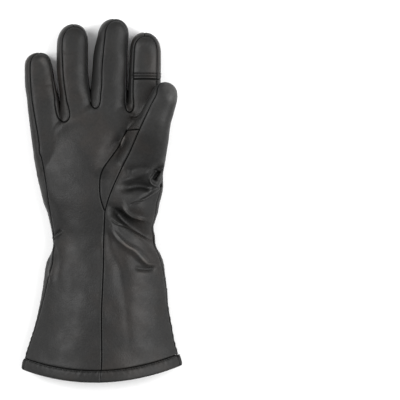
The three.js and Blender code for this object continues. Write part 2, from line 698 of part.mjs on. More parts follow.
// The hollow shell, and its panels cut from it one after another
const everyFinger = Object.values(fingers);
const form = (inset) =>
  joined([bodyLoft(inset), ...everyFinger.map((finger) => fingerLoft(finger, inset)), thumbLoft(inset)]);
let rest = form(0).subtract(form(wall));

// Takes the part of the shell inside a zone, and leaves a seam's gap round it.
function take(zone) {
  const piece = largest(rest.intersect(zone(0)));
  rest = rest.subtract(zone(seamGap));
  return piece;
}

const palmZone = (margin) =>
  joined([
    cutter(palmOutline, sideHeight, margin),
    ...everyFinger.map((finger) => cutter(fingerFront(finger), sideHeight, margin)),
  ]);

const pieces = {};
pieces.thumb_panel = take(thumbPanelZone);
pieces.thumb_gusset = take((margin) => cutter(gussetOutline, sideHeight, margin));
pieces.thumb_back = take((margin) => thumbLoft(-margin));
pieces.palm_panel = take(palmZone);
const fourchette = (one, other) => take((margin) => cutter(between(one, other), lowSeamHeight, margin));
pieces.fourchette_little_ring = fourchette(fingers.little, fingers.ring);
pieces.fourchette_ring_middle = fourchette(fingers.ring, fingers.middle);
pieces.fourchette_middle_index = fourchette(fingers.middle, fingers.index);
pieces.index_side_strip = take((margin) => cutter(beyondTouchSeam(0), lowSeamHeight, margin));
pieces.back_panel = largest(rest);

const touchZone = (margin) => cutter(beyondTouchSeam(-1), sideHeight, margin);
pieces.index_touch_tip = largest(pieces.palm_panel.intersect(touchZone(0)));
pieces.palm_panel = largest(pieces.palm_panel.subtract(touchZone(seamGap)));
pieces.cuff_hem = hemBand();

const glove = new THREE.Group();
for (const [name, piece] of Object.entries(pieces)) {
  const mesh = piece.getMesh();
  const geometry = new THREE.BufferGeometry();
  geometry.setAttribute("position", new THREE.BufferAttribute(mesh.vertProperties, 3));
  geometry.setIndex(new THREE.BufferAttribute(mesh.triVerts, 1));
  geometry.computeVertexNormals();
  const shown = new THREE.Mesh(geometry, name === "index_touch_tip" ? touchLeather : leather);
  shown.name = name;
  glove.add(shown);
}

// The origin is on the floor, in the middle of the glove's length and width.
const middle = new THREE.Box3().setFromObject(glove).getCenter(new THREE.Vector3());
glove.position.set(-middle.x, -middle.y, 0);

export default glove;
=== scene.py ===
# %% [markdown]
# # A padded leather gauntlet glove
# The glove lies on its back with the palm up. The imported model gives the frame: eleven leather
# panels, 3 mm thick, with their seams as narrow gaps. This lesson dresses each panel: the same form
# is made finely, cut along the same seams, grooved where the thread pulls the leather in, and given
# grain, folds and stitches. All making is done in millimetres and turned into metres at the end.

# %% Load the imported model
import math

import bpy
import numpy as np
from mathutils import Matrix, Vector
from mathutils.bvhtree import BVHTree
from mathutils.kdtree import KDTree


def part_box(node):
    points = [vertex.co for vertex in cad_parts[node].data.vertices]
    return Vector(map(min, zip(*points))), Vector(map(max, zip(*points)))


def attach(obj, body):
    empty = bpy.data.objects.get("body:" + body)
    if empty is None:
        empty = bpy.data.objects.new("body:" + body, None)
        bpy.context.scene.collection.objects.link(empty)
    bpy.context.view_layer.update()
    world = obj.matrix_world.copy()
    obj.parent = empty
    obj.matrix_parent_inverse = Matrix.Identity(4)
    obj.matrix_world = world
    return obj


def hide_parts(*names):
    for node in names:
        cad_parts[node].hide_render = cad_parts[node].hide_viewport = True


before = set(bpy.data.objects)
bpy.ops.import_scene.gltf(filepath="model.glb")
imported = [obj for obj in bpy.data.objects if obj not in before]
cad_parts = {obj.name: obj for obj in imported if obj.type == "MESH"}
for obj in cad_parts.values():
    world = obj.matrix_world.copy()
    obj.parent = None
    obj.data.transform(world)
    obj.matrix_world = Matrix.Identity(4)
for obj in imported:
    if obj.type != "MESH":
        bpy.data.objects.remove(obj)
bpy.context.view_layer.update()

mm = 0.001

# %% [markdown]
# ## The glove's sizes
# A pattern cutter starts from a few body measures: length of cuff and palm, widths at mouth, wrist
# and knuckles, and each finger's length and width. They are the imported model's own, so every fine
# panel lands on the plain one that it replaces.

# %% Cuff, hand, leather and hem
cuff_length, palm_length = 137, 117
mouth_width, mouth_height = 151, 44
wrist_width, wrist_height = 97, 36
palm_width, heel_height, knuckle_height = 124, 38, 27
palm_offset, wrist_offset = -7.4, 1.4
side_height = 13          # the widest line above the floor
hem_bow, hem_skew = 12.5, 2
knuckle_bow, web_length = 30, 12
wall = 3                  # leather with its padded lining
low_seam_height = 4
hem_height = 11
floor_press = 2.5
knuckle_line = cuff_length + palm_length
palm_left, palm_right = palm_offset - palm_width / 2, palm_offset + palm_width / 2
wrist_left, wrist_right = wrist_offset - wrist_width / 2, wrist_offset + wrist_width / 2
cuff_fullness, palm_fullness, palm_pinch, wrist_pinch = 2.2, 2.7, 0.5, 0.56
heel_at, knuckles_at, fold_fade = 0.3, 0.95, 0.7
pinch_at, fullness_at = 0.5, 0.8
knuckle_apex, knuckle_fade = 0.18, 0.15
print("glove length to the knuckles, mm:", knuckle_line)


# %% Tables with named columns
def table(columns, rows):
    """Rows of numbers as named columns."""
    return dict(zip(columns.split(), np.array(rows, float).T))


cuff_rows = table("at left right rise pinch seam_left seam_right", [
    (0.00, 1.00, 1.00, 1.00, 0.85, 0.010, 0.010),
    (0.09, 1.00, 1.00, 1.00, 0.84, 0.010, 0.010),
    (0.16, 0.94, 0.92, 0.97, 0.82, 0.011, 0.009),
    (0.27, 0.77, 0.75, 0.90, 0.79, 0.009, 0.009),
    (0.38, 0.60, 0.64, 0.80, 0.76, 0.011, 0.009),
    (0.50, 0.46, 0.52, 0.68, 0.72, 0.017, 0.009),
    (0.63, 0.34, 0.46, 0.52, 0.68, 0.025, 0.009),
    (0.74, 0.27, 0.38, 0.36, 0.64, 0.036, 0.010),
    (0.82, 0.20, 0.32, 0.24, 0.62, 0.042, 0.016),
    (0.88, 0.05, 0.19, 0.14, 0.60, 0.016, 0.014),
    (0.93, -0.02, 0.04, 0.07, 0.58, 0.010, 0.010),
    (1.00, 0.00, 0.00, 0.00, 0.56, 0.010, 0.010),
])
palm_rows = table("at left right bulge seam_left seam_right", [
    (0.00, 0.00, 0.0, 0.000, 0.012, 0.012),
    (0.07, 0.07, 0.0, -0.010, 0.018, 0.012),
    (0.13, 0.14, 0.2, -0.002, 0.021, 0.012),
    (0.19, 0.22, 0.5, 0.005, 0.027, 0.018),
    (0.26, 0.37, 0.7, 0.009, 0.043, 0.023),
    (0.32, 0.45, 0.9, 0.017, 0.050, 0.022),
    (0.39, 0.54, 1.0, 0.024, 0.057, 0.016),
    (0.47, 0.64, 1.0, 0.024, 0.063, 0.016),
    (0.57, 0.74, 1.0, 0.022, 0.063, 0.016),
    (0.70, 0.86, 1.0, 0.015, 0.061, 0.016),
    (0.86, 0.94, 1.0, 0.006, 0.052, 0.018),
    (1.00, 1.00, 1.0, 0.000, 0.044, 0.018),
])

# %% Fingers: middle on the knuckle line, size, and rows from the root (0) to the tip (1)
# Each row has its place, how far the middle sways and the width, as shares of the finger's own
# width, and where the seams run left and right of the middle, as shares of half the width.
fingers = {
    "little": dict(base=0.118, length=56.5, width=29, height=24.5, dome=0.78, tip_seam=0.975, rows=[
        (-0.75, 0.17, 1.05, -0.52, 0.75),
        (-0.35, 0.09, 1.07, -0.56, 0.77),
        (0.00, 0.01, 1.08, -0.62, 0.79),
        (0.23, -0.05, 1.04, -0.66, 0.80),
        (0.44, -0.13, 1.00, -0.60, 0.86),
        (0.70, -0.18, 0.92, -0.59, 0.92),
        (0.84, -0.20, 0.87, -0.56, 0.90),
        (1.00, -0.17, 0.85, -0.56, 0.90)]),
    "ring": dict(base=0.361, length=83.5, width=29.5, height=26, dome=0.76, tip_seam=0.96, rows=[
        (0.00, 0.00, 1.06, -0.56, 0.84),
        (0.16, -0.01, 1.01, -0.60, 0.90),
        (0.30, -0.07, 0.98, -0.62, 0.94),
        (0.48, -0.12, 1.00, -0.59, 0.95),
        (0.76, -0.12, 1.00, -0.64, 0.95),
        (1.00, -0.08, 0.98, -0.62, 0.95)]),
    "middle": dict(base=0.612, length=88.5, width=32.5, height=27, dome=0.8, tip_seam=0.975, rows=[
        (0.00, 0.00, 1.10, -0.46, 0.86),
        (0.15, 0.00, 1.08, -0.46, 0.87),
        (0.28, 0.00, 1.04, -0.40, 0.92),
        (0.45, 0.02, 1.02, -0.43, 0.93),
        (0.66, 0.05, 0.97, -0.42, 0.94),
        (0.83, 0.12, 0.91, -0.50, 0.95),
        (1.00, 0.15, 0.90, -0.52, 0.95)]),
    "index": dict(base=0.883, length=75.5, width=30.5, height=26, dome=0.76, tip_seam=0.945, rows=[
        (0.00, 0.00, 1.08, -0.66, 0.74),
        (0.16, 0.00, 1.05, -0.68, 0.75),
        (0.30, 0.00, 1.00, -0.71, 0.77),
        (0.50, 0.01, 0.99, -0.72, 0.77),
        (0.76, 0.03, 0.95, -0.74, 0.77),
        (1.00, 0.00, 0.93, -0.75, 0.77)]),
}
for finger in fingers.values():
    finger["rows"] = table("at sway wide left right", finger["rows"])
touch_seam = 0.41         # the index tip's cross seam, as a share of the finger's length

# %% Thumb: sizes, rows from its root (0) to its tip (1), and its seams in its own frame
thumb_length, thumb_width, thumb_depth = 83.5, 30, 25
thumb_root_height, thumb_tip_height = 23, 37
thumb_turn = math.radians(21.6)
thumb_root = np.array([palm_right - 21.3, cuff_length + 66.0])
thumb_way = np.array([math.sin(thumb_turn), math.cos(thumb_turn)])
thumb_across = np.array([math.cos(thumb_turn), -math.sin(thumb_turn)])
thumb_dome, thumb_start, gusset_top = 0.78, -0.3, 0.365
thumb_rows = table("at wide deep climb", [
    (-0.65, 1.95, 0.70, -0.55),
    (-0.30, 1.85, 0.90, -0.35),
    (0.00, 1.70, 1.08, 0.00),
    (0.26, 1.42, 1.16, 0.45),
    (0.38, 1.27, 1.16, 0.72),
    (0.57, 1.02, 1.08, 0.97),
    (0.71, 0.93, 1.00, 1.00),
    (0.81, 0.87, 0.97, 1.00),
    (1.00, 0.84, 0.95, 1.00),
])
thumb_seam = [(1.08, -0.3), (0.92, -0.66), (0.82, -0.57), (0.7, -0.61), (0.58, -0.6),
              (0.36, -0.52), (0.11, -0.46), (-0.08, -0.48), (-0.34, -0.48), (-0.48, -0.46),
              (-0.62, -0.4)]
gusset_seam = [(0.37, -1.1), (0.26, -1.02), (0.13, -0.97), (0.0, -1.0), (-0.15, -1.06),
               (-0.25, -1.03), (-0.33, -0.95), (-0.48, -0.73)]
middle_seam = [(0.15, 0.016), (0.35, 0.012), (0.6, 0.002), (0.85, 0.004), (1.0, -0.003)]

# %% Main dents and folds of the palm side
# Middle across and along as shares of palm_width and palm_length, angle in degrees, then half
# length, half width and height as shares of palm_width.
folds = {
    "thumb dimple": (0.425, 0.53, 40, 0.05, 0.038, -0.055),
    "valley over wrist fold": (0.244, 0.42, 14, 0.13, 0.036, -0.022),
    "wrist fold": (0.36, 0.36, 31, 0.1, 0.03, 0.016),
    "pad below the fold": (0.3, 0.25, 0, 0.07, 0.06, 0.016),
    "wrist valley": (0.221, 0.129, -23, 0.16, 0.05, -0.034),
    "cuff crease": (0.335, -0.234, -20, 0.07, 0.03, -0.014),
    "hollow beside the gusset": (0.1, 0.72, 53, 0.17, 0.09, -0.03),
    "outer wrist crease": (-0.41, 0.26, -67, 0.1, 0.035, -0.02),
}
print("main folds:", len(folds), "fingers:", len(fingers))

# %% [markdown]
# ## The form
# A padded glove keeps the shape of the hand even when it is empty. Its form is a loft for cuff and
# hand, one for each finger and one for the thumb, joined. A sculpted mesh could do it too, but
# lofts through the tables keep every width and height where the pattern has it.

# %% Reading a table on a smooth curve
def lerp(a, b, t):
    return a + (b - a) * t


def smooth(start, end, value):
    """0 before start, 1 after end, and a soft step between them."""
    t = np.clip((np.asarray(value, float) - start) / (end - start), 0, 1)
    return t * t * (3 - 2 * t)


def read(rows, column, at):
    """A column at any place between its rows."""
    x, y = rows["at"], rows[column]
    last = len(x) - 1
    before = np.maximum(np.arange(last + 1) - 1, 0)
    after = np.minimum(np.arange(last + 1) + 1, last)
    slope = (y[after] - y[before]) / (x[after] - x[before])
    i = np.clip(np.searchsorted(x, at, "right") - 1, 0, last - 1)
    span = x[i + 1] - x[i]
    t = np.clip((at - x[i]) / span, 0, 1)
    return (y[i] * (2 * t**3 - 3 * t**2 + 1) + y[i + 1] * (3 * t**2 - 2 * t**3)
            + span * slope[i] * (t**3 - 2 * t**2 + t) + span * slope[i + 1] * (t**3 - t**2))


def relief(x, y):
    """How far the folds lift or sink the palm side."""
    lift = np.zeros(np.broadcast(x, y).shape)
    for at_x, at_y, angle, long, wide, height in folds.values():
        dx = x - at_x * palm_width
        dy = y - cuff_length - at_y * palm_length
        turn = math.radians(angle)
        along = (dx * math.cos(turn) + dy * math.sin(turn)) / (long * palm_width)
        across = (dy * math.cos(turn) - dx * math.sin(turn)) / (wide * palm_width)
        lift += height * palm_width * np.exp(-along**2 - across**2)
    return lift


print("wrist's edge share at a third of the cuff:", round(float(read(cuff_rows, "left", 0.33)), 3))


# %% Edges, height and bow of cuff and hand
def edges(y):
    """Left and right edge seen from above, and the side seams, at a real distance from the hem."""
    cuff, hand = y / cuff_length, (y - cuff_length) / palm_length
    in_cuff = y < cuff_length
    left = np.where(in_cuff, lerp(wrist_left, -mouth_width / 2, read(cuff_rows, "left", cuff)),
                    lerp(wrist_left, palm_left, read(palm_rows, "left", hand)))
    bulge = read(palm_rows, "bulge", hand) * palm_width
    right = np.where(in_cuff, lerp(wrist_right, mouth_width / 2, read(cuff_rows, "right", cuff)),
                     lerp(wrist_right, palm_right, read(palm_rows, "right", hand)) + bulge)
    seams = [np.where(in_cuff, read(cuff_rows, side, cuff) * mouth_width,
                      read(palm_rows, side, hand) * palm_width)
             for side in ("seam_left", "seam_right")]
    return left, right, left + seams[0], right - seams[1]


def knuckle_fall(across):
    return knuckle_bow * (across - knuckle_apex) ** 2


def bow(along, across):
    """How far a place across the hand is shifted along it, at the hem and at the knuckles."""
    hem = (hem_bow * across**2 + hem_skew * across) * (1 - smooth(0, cuff_length, along))
    fade = smooth(cuff_length + knuckle_fade * palm_length, knuckle_line, along)
    return hem - knuckle_fall(across) * fade


def section(along):
    """Height, side sharpness and fullness of the section at a distance from the hem."""
    cuff, hand = along / cuff_length, (along - cuff_length) / palm_length
    if cuff < 1:
        return (lerp(wrist_height, mouth_height, read(cuff_rows, "rise", cuff)),
                read(cuff_rows, "pinch", cuff), cuff_fullness)
    heel = lerp(wrist_height, heel_height, smooth(0, heel_at, hand))
    return (lerp(heel, knuckle_height, smooth(heel_at, knuckles_at, hand)),
            lerp(wrist_pinch, palm_pinch, smooth(0, pinch_at, hand)),
            lerp(cuff_fullness, palm_fullness, smooth(0, fullness_at, hand)))


def body_ring(along, inset=0.0, closing=0.0, sides=160):
    """One ring of cuff and hand, drawn in by inset and rounded off by closing."""
    height, pinch, fullness = section(along)
    angle = 2 * math.pi * np.arange(sides) / sides
    across = np.cos(angle)
    profile = (np.maximum(0, 1 - np.abs(across) ** fullness) ** pinch) * math.sqrt(1 - closing**2)
    left, right = edges(along + bow(along, -1))[0], edges(along + bow(along, 1))[1]
    middle, half = (left + right) / 2, (right - left) / 2
    x = middle + (half - inset) * across
    y = along + closing * (web_length - inset) + bow(along, (x - middle) / half)
    lift = relief(x, y) * smooth(0, fold_fade, profile)
    top = side_height + (height - side_height - inset) * profile + lift
    low = np.maximum(side_height - (side_height + floor_press - inset) * profile, max(inset, 0))
    return np.stack([x, y, np.where(np.sin(angle) > 0, top, low)], 1)


print("wrist section, mm:", np.ptp(body_ring(cuff_length), axis=0).round(1))


# %% Fingers and thumb
tip_roundness, digit_fullness = 2.3, 2.5
tip_least = 0.06          # the share of its section that a tip's last ring keeps
tip_first, tip_rings, finger_steps, thumb_steps = 0.92, 14, 24, 34
root_rows = [(1.0, 0.55), (0.8, 0.85), (0.6, 0.98), (0.3, 1.0)]


def finger_place(finger, along, side):
    """A place on a finger seen from above: side is a share of its half width."""
    rows, width = finger["rows"], finger["width"]
    x = palm_left + finger["base"] * palm_width + read(rows, "sway", along) * width
    half = read(rows, "wide", along) * width / 2
    y = knuckle_line + along * finger["length"]
    return np.stack(np.broadcast_arrays(x + side * half, y), -1)


def root_reach(finger):
    """How far a finger reaches back into the palm, as a share of its length."""
    middle, side = 2 * finger["base"] - 1, finger["width"] / palm_width
    fall = max(knuckle_fall(middle - side), knuckle_fall(middle + side))
    return (fall + 2 * web_length) / finger["length"]


def tip_share(at, dome):
    """How much of its full section a tip still has where it rounds off."""
    t = np.clip((at - dome) / (1 - dome), 0, 1)
    return np.maximum((1 - t**tip_roundness) ** (1 / tip_roundness), tip_least)


def digit_steps(start, dome, count):
    """Places along a digit: even up to its dome, then closer and closer to the tip."""
    return np.concatenate([np.linspace(start, dome, count),
                           1 - (1 - dome) * np.linspace(tip_first, 0.0, tip_rings) ** 2])


def digit_ring(middle, way, half, up, down, floor, edge, sides=72):
    """One ring of a digit: half wide along way, up over its edge's height and down below it."""
    angle = 2 * math.pi * np.arange(sides) / sides
    across = np.cos(angle)
    profile = np.maximum(0, 1 - np.abs(across) ** digit_fullness) ** (1 / digit_fullness)
    x, y = middle[0] + way[0] * half * across, middle[1] + way[1] * half * across
    top = edge + up * profile + relief(x, y) * smooth(0, fold_fade, profile)
    low = np.maximum(floor, edge - down * profile)
    return np.stack([x, y, np.where(np.sin(angle) > 0, top, low)], 1)


def finger_rings(finger, inset=0.0):
    reach = 1 - inset / finger["length"]
    stations = [(-back * root_reach(finger), size) for back, size in root_rows]
    stations += [(at * reach, tip_share(at, finger["dome"]))
                 for at in digit_steps(0, finger["dome"], finger_steps)]
    rings = []
    for at, share in stations:
        half = read(finger["rows"], "wide", at) * finger["width"] / 2 - inset
        rings.append(digit_ring(finger_place(finger, at, 0), (1, 0), half * share,
                                (finger["height"] - side_height - inset) * share,
                                (side_height + floor_press - inset) * share,
                                max(inset, 0), side_height))
    return rings


def thumb_place(along, side):
    half = read(thumb_rows, "wide", along) * thumb_width / 2
    return thumb_root + along * thumb_length * thumb_way + side * half * thumb_across


def thumb_middle_height(along):
    return lerp(thumb_root_height, thumb_tip_height, read(thumb_rows, "climb", along))


def thumb_rings(inset=0.0):
    reach = 1 - inset / thumb_length
    rings = []
    for step in digit_steps(thumb_start, thumb_dome, thumb_steps):
        at = step * reach if step > 0 else step
        share = tip_share(step, thumb_dome)
        deep = (read(thumb_rows, "deep", at) * thumb_depth / 2 - inset) * share
        half = (read(thumb_rows, "wide", at) * thumb_width / 2 - inset) * share
        rings.append(digit_ring(thumb_place(at, 0), thumb_across, half, deep, deep,
                                max(inset, 0), thumb_middle_height(at)))
    return rings


print("finger rings:", {name: len(finger_rings(finger)) for name, finger in fingers.items()})


# %% Lofts
body_start, body_step = -18.0, 2.0
last_closing = 1.45       # the angle through which the hand's end rounds off between the fingers


def halves(quads):
    """Each four-sided face as two triangles."""
    return np.concatenate([quads[:, [0, 1, 2]], quads[:, [0, 2, 3]]])


def grid(rows, columns):
    """Every row number with every column number, as two flat lists."""
    return [g.ravel() for g in np.meshgrid(np.arange(rows), np.arange(columns), indexing="ij")]


def tube(rings):
    """A closed solid through rings; each end is a strip from the upper points to the lower ones."""
    rings = np.array(rings)
    count, sides = rings.shape[:2]
    ring, side = grid(count - 1, sides)
    a, b = ring * sides + side, ring * sides + (side + 1) % sides
    i = np.arange(sides // 2)
    under, last = (sides - i) % sides, (count - 1) * sides
    quads = np.concatenate([np.stack([a, b, b + sides, a + sides], 1),
                            np.stack([i, under, sides - i - 1, i + 1], 1),
                            np.stack([i, i + 1, sides - i - 1, under], 1) + last])
    faces = halves(quads)
    return rings.reshape(-1, 3), faces[(faces != np.roll(faces, 1, axis=1)).all(1)]


def body_rings(inset=0.0):
    """Cuff and hand, from behind the mouth to the rounded end between the fingers."""
    rings = [body_ring(along, inset) for along in np.arange(body_start, knuckle_line, body_step)]
    closings = [math.sin(t) for t in np.linspace(0, last_closing, 9)]
    return rings + [body_ring(knuckle_line, inset, closing) for closing in closings]


# %% [markdown]
# The skin comes from a voxel remesh, which would close the slits of 2 to 4 mm between the fingers.
# So the fingers are spread first, as a glove is on the maker's former, and laid back afterwards.

# %% Spread the fingers for the skin, and lay them back
finger_pairs = [("little", "ring"), ("ring", "middle"), ("middle", "index")]
spread_by = 5.0
spread_from, spread_full = 30, 8      # where it starts and is full, before the knuckle line
least_gap = 1.2           # half of the narrowest gap that is opened


def spread_steps(y):
    """For each gap between two fingers, its middle, half its width and how far it opens."""
    opening = spread_by * smooth(knuckle_line - spread_from, knuckle_line - spread_full, y)
    for one, other in finger_pairs:
        right, left = (finger_place(finger, (y - knuckle_line) / finger["length"], side)[:, 0]
                       for finger, side in ((fingers[one], 1), (fingers[other], -1)))
        yield (left + right) / 2, np.maximum((left - right) / 2, 0) + least_gap, opening


def spread(x, steps):
    """Moved to the right by every gap that lies to the left."""
    return x + sum(opening * smooth(-1, 1, (x - middle) / half) for middle, half, opening in steps)


def laid_back(points):
    """The places that spread() moved to these points, found by halving an interval."""
    steps = list(spread_steps(points[:, 1]))
    low, high = points[:, 0] - 3 * spread_by - 1, points[:, 0] + 1
    for _ in range(24):
        middle = (low + high) / 2
        beyond = spread(middle, steps) > points[:, 0]
        low, high = np.where(beyond, low, middle), np.where(beyond, middle, high)
    return np.column_stack([(low + high) / 2, points[:, 1:]])


print("gaps open by", spread_by, "mm each")


# %% One even skin over the lofts
def linked(name, data):
    """A new object in the scene."""
    made = bpy.data.objects.new(name, data)
    bpy.context.scene.collection.objects.link(made)
    return made


def even_skin(inset, voxel):
    """The joined lofts under one even skin of small triangles."""
    lofts = [tube(body_rings(inset)), tube(thumb_rings(inset))]
    lofts += [tube(finger_rings(finger, inset)) for finger in fingers.values()]
    points, faces, start = [], [], 0
    for loft_points, loft_faces in lofts:
        points.append(loft_points)
        faces.append(loft_faces + start)
        start += len(loft_points)
    points = np.concatenate(points)
    points[:, 0] = spread(points[:, 0], list(spread_steps(points[:, 1])))
    mesh = bpy.data.meshes.new("form")
    mesh.from_pydata((points * mm).tolist(), [], np.concatenate(faces).tolist())
    form = linked("form", mesh)
    remesh = form.modifiers.new("even skin", "REMESH")
    remesh.mode, remesh.voxel_size = "VOXEL", voxel * mm
    result = form.evaluated_get(bpy.context.evaluated_depsgraph_get()).to_mesh()
    result.calc_loop_triangles()
    skin = np.zeros(len(result.vertices) * 3)
    triangles = np.zeros(len(result.loop_triangles) * 3, np.int32)
    result.vertices.foreach_get("co", skin)
    result.loop_triangles.foreach_get("vertices", triangles)
    bpy.data.objects.remove(form)
    return laid_back(skin.reshape(-1, 3) / mm), triangles.reshape(-1, 3).astype(np.int64)


outer_voxel, inner_voxel = 1.5, 2.0
points, faces = even_skin(0.0, outer_voxel)
inner_points, inner_faces = even_skin(wall, inner_voxel)
print("outer skin:", len(points), "points; inner skin:", len(inner_points), "points")

# %% [markdown]
# ## Softening and fine folds
# Padding rounds off every inside corner, so the skin is eased all over and more between the
# fingers, where the lofts meet at an angle. Fine folds come after it, or it would erase them.

# %% Ease a skin
def three_sides(faces):
    """All first sides, then all second and all third ones, as pairs of points."""
    return np.concatenate([faces[:, [0, 1]], faces[:, [1, 2]], faces[:, [2, 0]]])


def neighbours(faces):
    """Each edge once, as pairs of points."""
    return np.unique(np.sort(three_sides(faces), axis=1), axis=0)


def eased(points, pairs, rounds, weight=0.5, back=-0.52):
    """Points moved towards their neighbours' middle and partly back again."""
    count = len(points)
    degree = np.bincount(pairs.ravel(), minlength=count)[:, None]
    for step in [weight, back] * rounds:
        total = np.stack([np.bincount(pairs[:, 0], points[pairs[:, 1], k], count)
                          + np.bincount(pairs[:, 1], points[pairs[:, 0], k], count)
                          for k in range(3)], 1)
        points = points + step * (total - degree * points) / np.maximum(degree, 1)
    return points


webs = np.array([(-37.5, 251.0, 13.0), (-6.0, 261.0, 13.0), (27.0, 258.0, 13.0),
                 (48.0, 238.0, 20.0)])
web_radius = 9.0
all_over, at_webs, inside_rounds = 9, 8, 4            # rounds of easing


def near(points, places, radius):
    """1 at any of the places, fading to 0 round them."""
    gaps = ((points[:, None, :] - places[None]) ** 2).sum(2)
    return np.exp(-gaps / radius**2).max(1)[:, None]


pairs = neighbours(faces)
points = eased(points, pairs, all_over)
points = eased(points, pairs, at_webs, weight=0.5 * near(points, webs, web_radius), back=0)
points[:, 2] = np.maximum(points[:, 2], 0)
inner_points = eased(inner_points, neighbours(inner_faces), inside_rounds)
print("eased skin, mm:", np.ptp(points, axis=0).round(1))


# %% Split triangles at marked edges
def split(points, faces, panel, value, wanted):
    """Splits the wanted edges at a share of their length, and keeps each face's panel."""
    sides = np.stack([faces[:, [0, 1]], faces[:, [1, 2]], faces[:, [2, 0]]], 1)
    low, high = sides.min(2), sides.max(2)
    keys, where = np.unique((low * len(points) + high).ravel(), return_inverse=True)
    first, second = keys // len(points), keys % len(points)
    marked, share = wanted(first, second, where.reshape(-1, 3))
    new = np.full(len(keys), -1)
    new[marked] = len(points) + np.arange(marked.sum())
    share = share[marked][:, None]
    points = np.concatenate([points, lerp(points[first[marked]], points[second[marked]], share)])
    if value is not None:
        value = np.concatenate([value, np.zeros(marked.sum())])
    middle = new[where.reshape(-1, 3)]
    count = (middle >= 0).sum(1)
    turn = np.where(count == 1, np.argmax(middle >= 0, 1), (np.argmax(middle < 0, 1) + 1) % 3)
    turn[(count == 0) | (count == 3)] = 0
    order = (turn[:, None] + np.arange(3)) % 3
    (a, b, c), (p, q, r) = (np.take_along_axis(m, order, 1).T for m in (faces, middle))
    pieces, owners = [faces[count == 0]], [panel[count == 0]]
    for n, corners in ((1, [(a, p, c), (p, b, c)]), (2, [(p, b, q), (a, p, q), (a, q, c)]),
                       (3, [(a, p, r), (p, b, q), (r, q, c), (p, q, r)])):
        for corner in corners:
            pieces.append(np.stack(corner, 1)[count == n])
            owners.append(panel[count == n])
    return points, np.concatenate(pieces), np.concatenate(owners), value


# %% Directions out of the skin, and the fine folds
def curve(places, count):
    """Points on a smooth curve through a few places."""
    places = np.array(places, float)
    ends = np.concatenate([places[:1], places, places[-1:]])
    t = np.linspace(0, len(places) - 1, count)
    i = np.minimum(t.astype(int), len(places) - 2)
    t = (t - i)[:, None]
    a, b, c, d = (ends[i + k] for k in range(4))
    return 0.5 * (2 * b + (c - a) * t + (2 * a - 5 * b + 4 * c - d) * t**2
                  + (3 * b - a - 3 * c + d) * t**3)


def outward(points, faces):
    """The direction out of the skin at each point."""
    a, b, c = points[faces[:, 0]], points[faces[:, 1]], points[faces[:, 2]]
    across = np.cross(b - a, c - a)
    total = np.stack([np.bincount(faces.ravel(), np.repeat(across[:, k], 3), len(points))
                      for k in range(3)], 1)
    return total / np.maximum(np.linalg.norm(total, axis=1, keepdims=True), 1e-9)


# Each stroke has its width and lift in mm, and the places that it runs through.
strokes = [
    (2.9, -6.0, [(55.0, 198.5), (52.3, 193.8), (50.4, 189.0)]),
    (1.1, 2.2, [(59.0, 203.0), (53.3, 198.4), (48.2, 193.8), (45.6, 190.0), (48.0, 185.6),
                (53.0, 183.6)]),
    (0.9, 2.4, [(58.5, 187.0), (53.5, 182.2), (48.4, 178.0), (40.0, 172.2), (34.0, 169.5)]),
    (1.3, -1.0, [(37.5, 170.4), (32.5, 168.4), (26.5, 165.6)]),
    (3.4, -3.2, [(20.5, 180.5), (31.5, 184.0), (41.0, 183.8), (47.0, 180.0)]),
    (2.2, 0.8, [(18.0, 188.0), (27.4, 191.3), (37.8, 194.4), (45.0, 198.0)]),
    (3.0, -1.4, [(24.0, 198.0), (33.0, 200.6), (45.0, 201.5)]),
    (2.2, 1.9, [(19.5, 169.0), (22.5, 161.0), (27.5, 156.2), (35.0, 153.8), (43.0, 151.6)]),
    (4.0, -5.2, [(9.0, 164.5), (16.0, 158.2), (22.7, 152.0), (32.1, 144.9), (42.3, 138.0),
                 (49.5, 130.5)]),
    (1.0, -0.9, [(7.5, 153.5), (14.0, 148.9), (21.7, 146.6), (30.0, 144.6)]),
    (3.0, 3.2, [(8.5, 153.0), (11.0, 142.0), (16.5, 133.9), (23.4, 127.6), (31.2, 122.5),
                (38.0, 115.5), (44.0, 110.6), (52.0, 109.0)]),
    (2.3, -1.6, [(31.0, 107.6), (38.0, 106.2), (45.0, 106.4), (50.0, 107.6)]),
    (6.0, -2.0, [(7.0, 146.0), (9.0, 125.0), (17.0, 108.0), (22.0, 80.0)]),
    (1.4, 1.8, [(-47.5, 134.5), (-43.0, 136.6), (-37.5, 141.2)]),
    (1.6, -1.7, [(-46.5, 137.5), (-42.5, 139.4), (-38.0, 143.0)]),
    (2.0, 1.9, [(-45.0, 131.0), (-45.2, 118.0), (-47.6, 104.0), (-47.2, 94.0)]),
    (3.4, -0.9, [(-39.5, 128.0), (-40.0, 112.0), (-42.0, 92.0)]),
    (1.2, 0.6, [(28.0, 251.5), (32.0, 250.0), (36.5, 252.4)]),
    (1.4, -0.9, [(27.0, 248.2), (32.0, 247.4), (37.5, 249.6)]),
    (6.5, -3.6, [(1.0, 190.0), (3.0, 202.0), (8.5, 213.0), (16.0, 223.0), (23.0, 232.0)]),
    (0.7, -0.8, [(28.0, 287.7), (36.0, 287.7), (44.0, 287.7), (53.0, 287.7)]),
    (0.7, -0.8, [(28.0, 290.2), (36.0, 290.2), (44.0, 290.2), (53.0, 290.2)]),
    (0.8, 0.5, [(28.0, 289.0), (36.0, 289.0), (44.0, 289.0), (53.0, 289.0)]),
    (2.0, -0.45, [(-38.0, 308.0), (-31.0, 306.5), (-24.0, 308.0)]),
    (2.0, -0.45, [(-2.0, 306.0), (5.0, 304.5), (12.0, 306.0)]),
    (1.8, -0.45, [(-59.5, 281.0), (-53.0, 279.5), (-47.0, 281.0)]),
    (3.5, -0.5, [(21.0, 92.0), (24.0, 60.0), (27.0, 30.0)]),
    (4.5, -0.5, [(-24.0, 96.0), (-28.0, 60.0), (-34.0, 28.0)]),
]
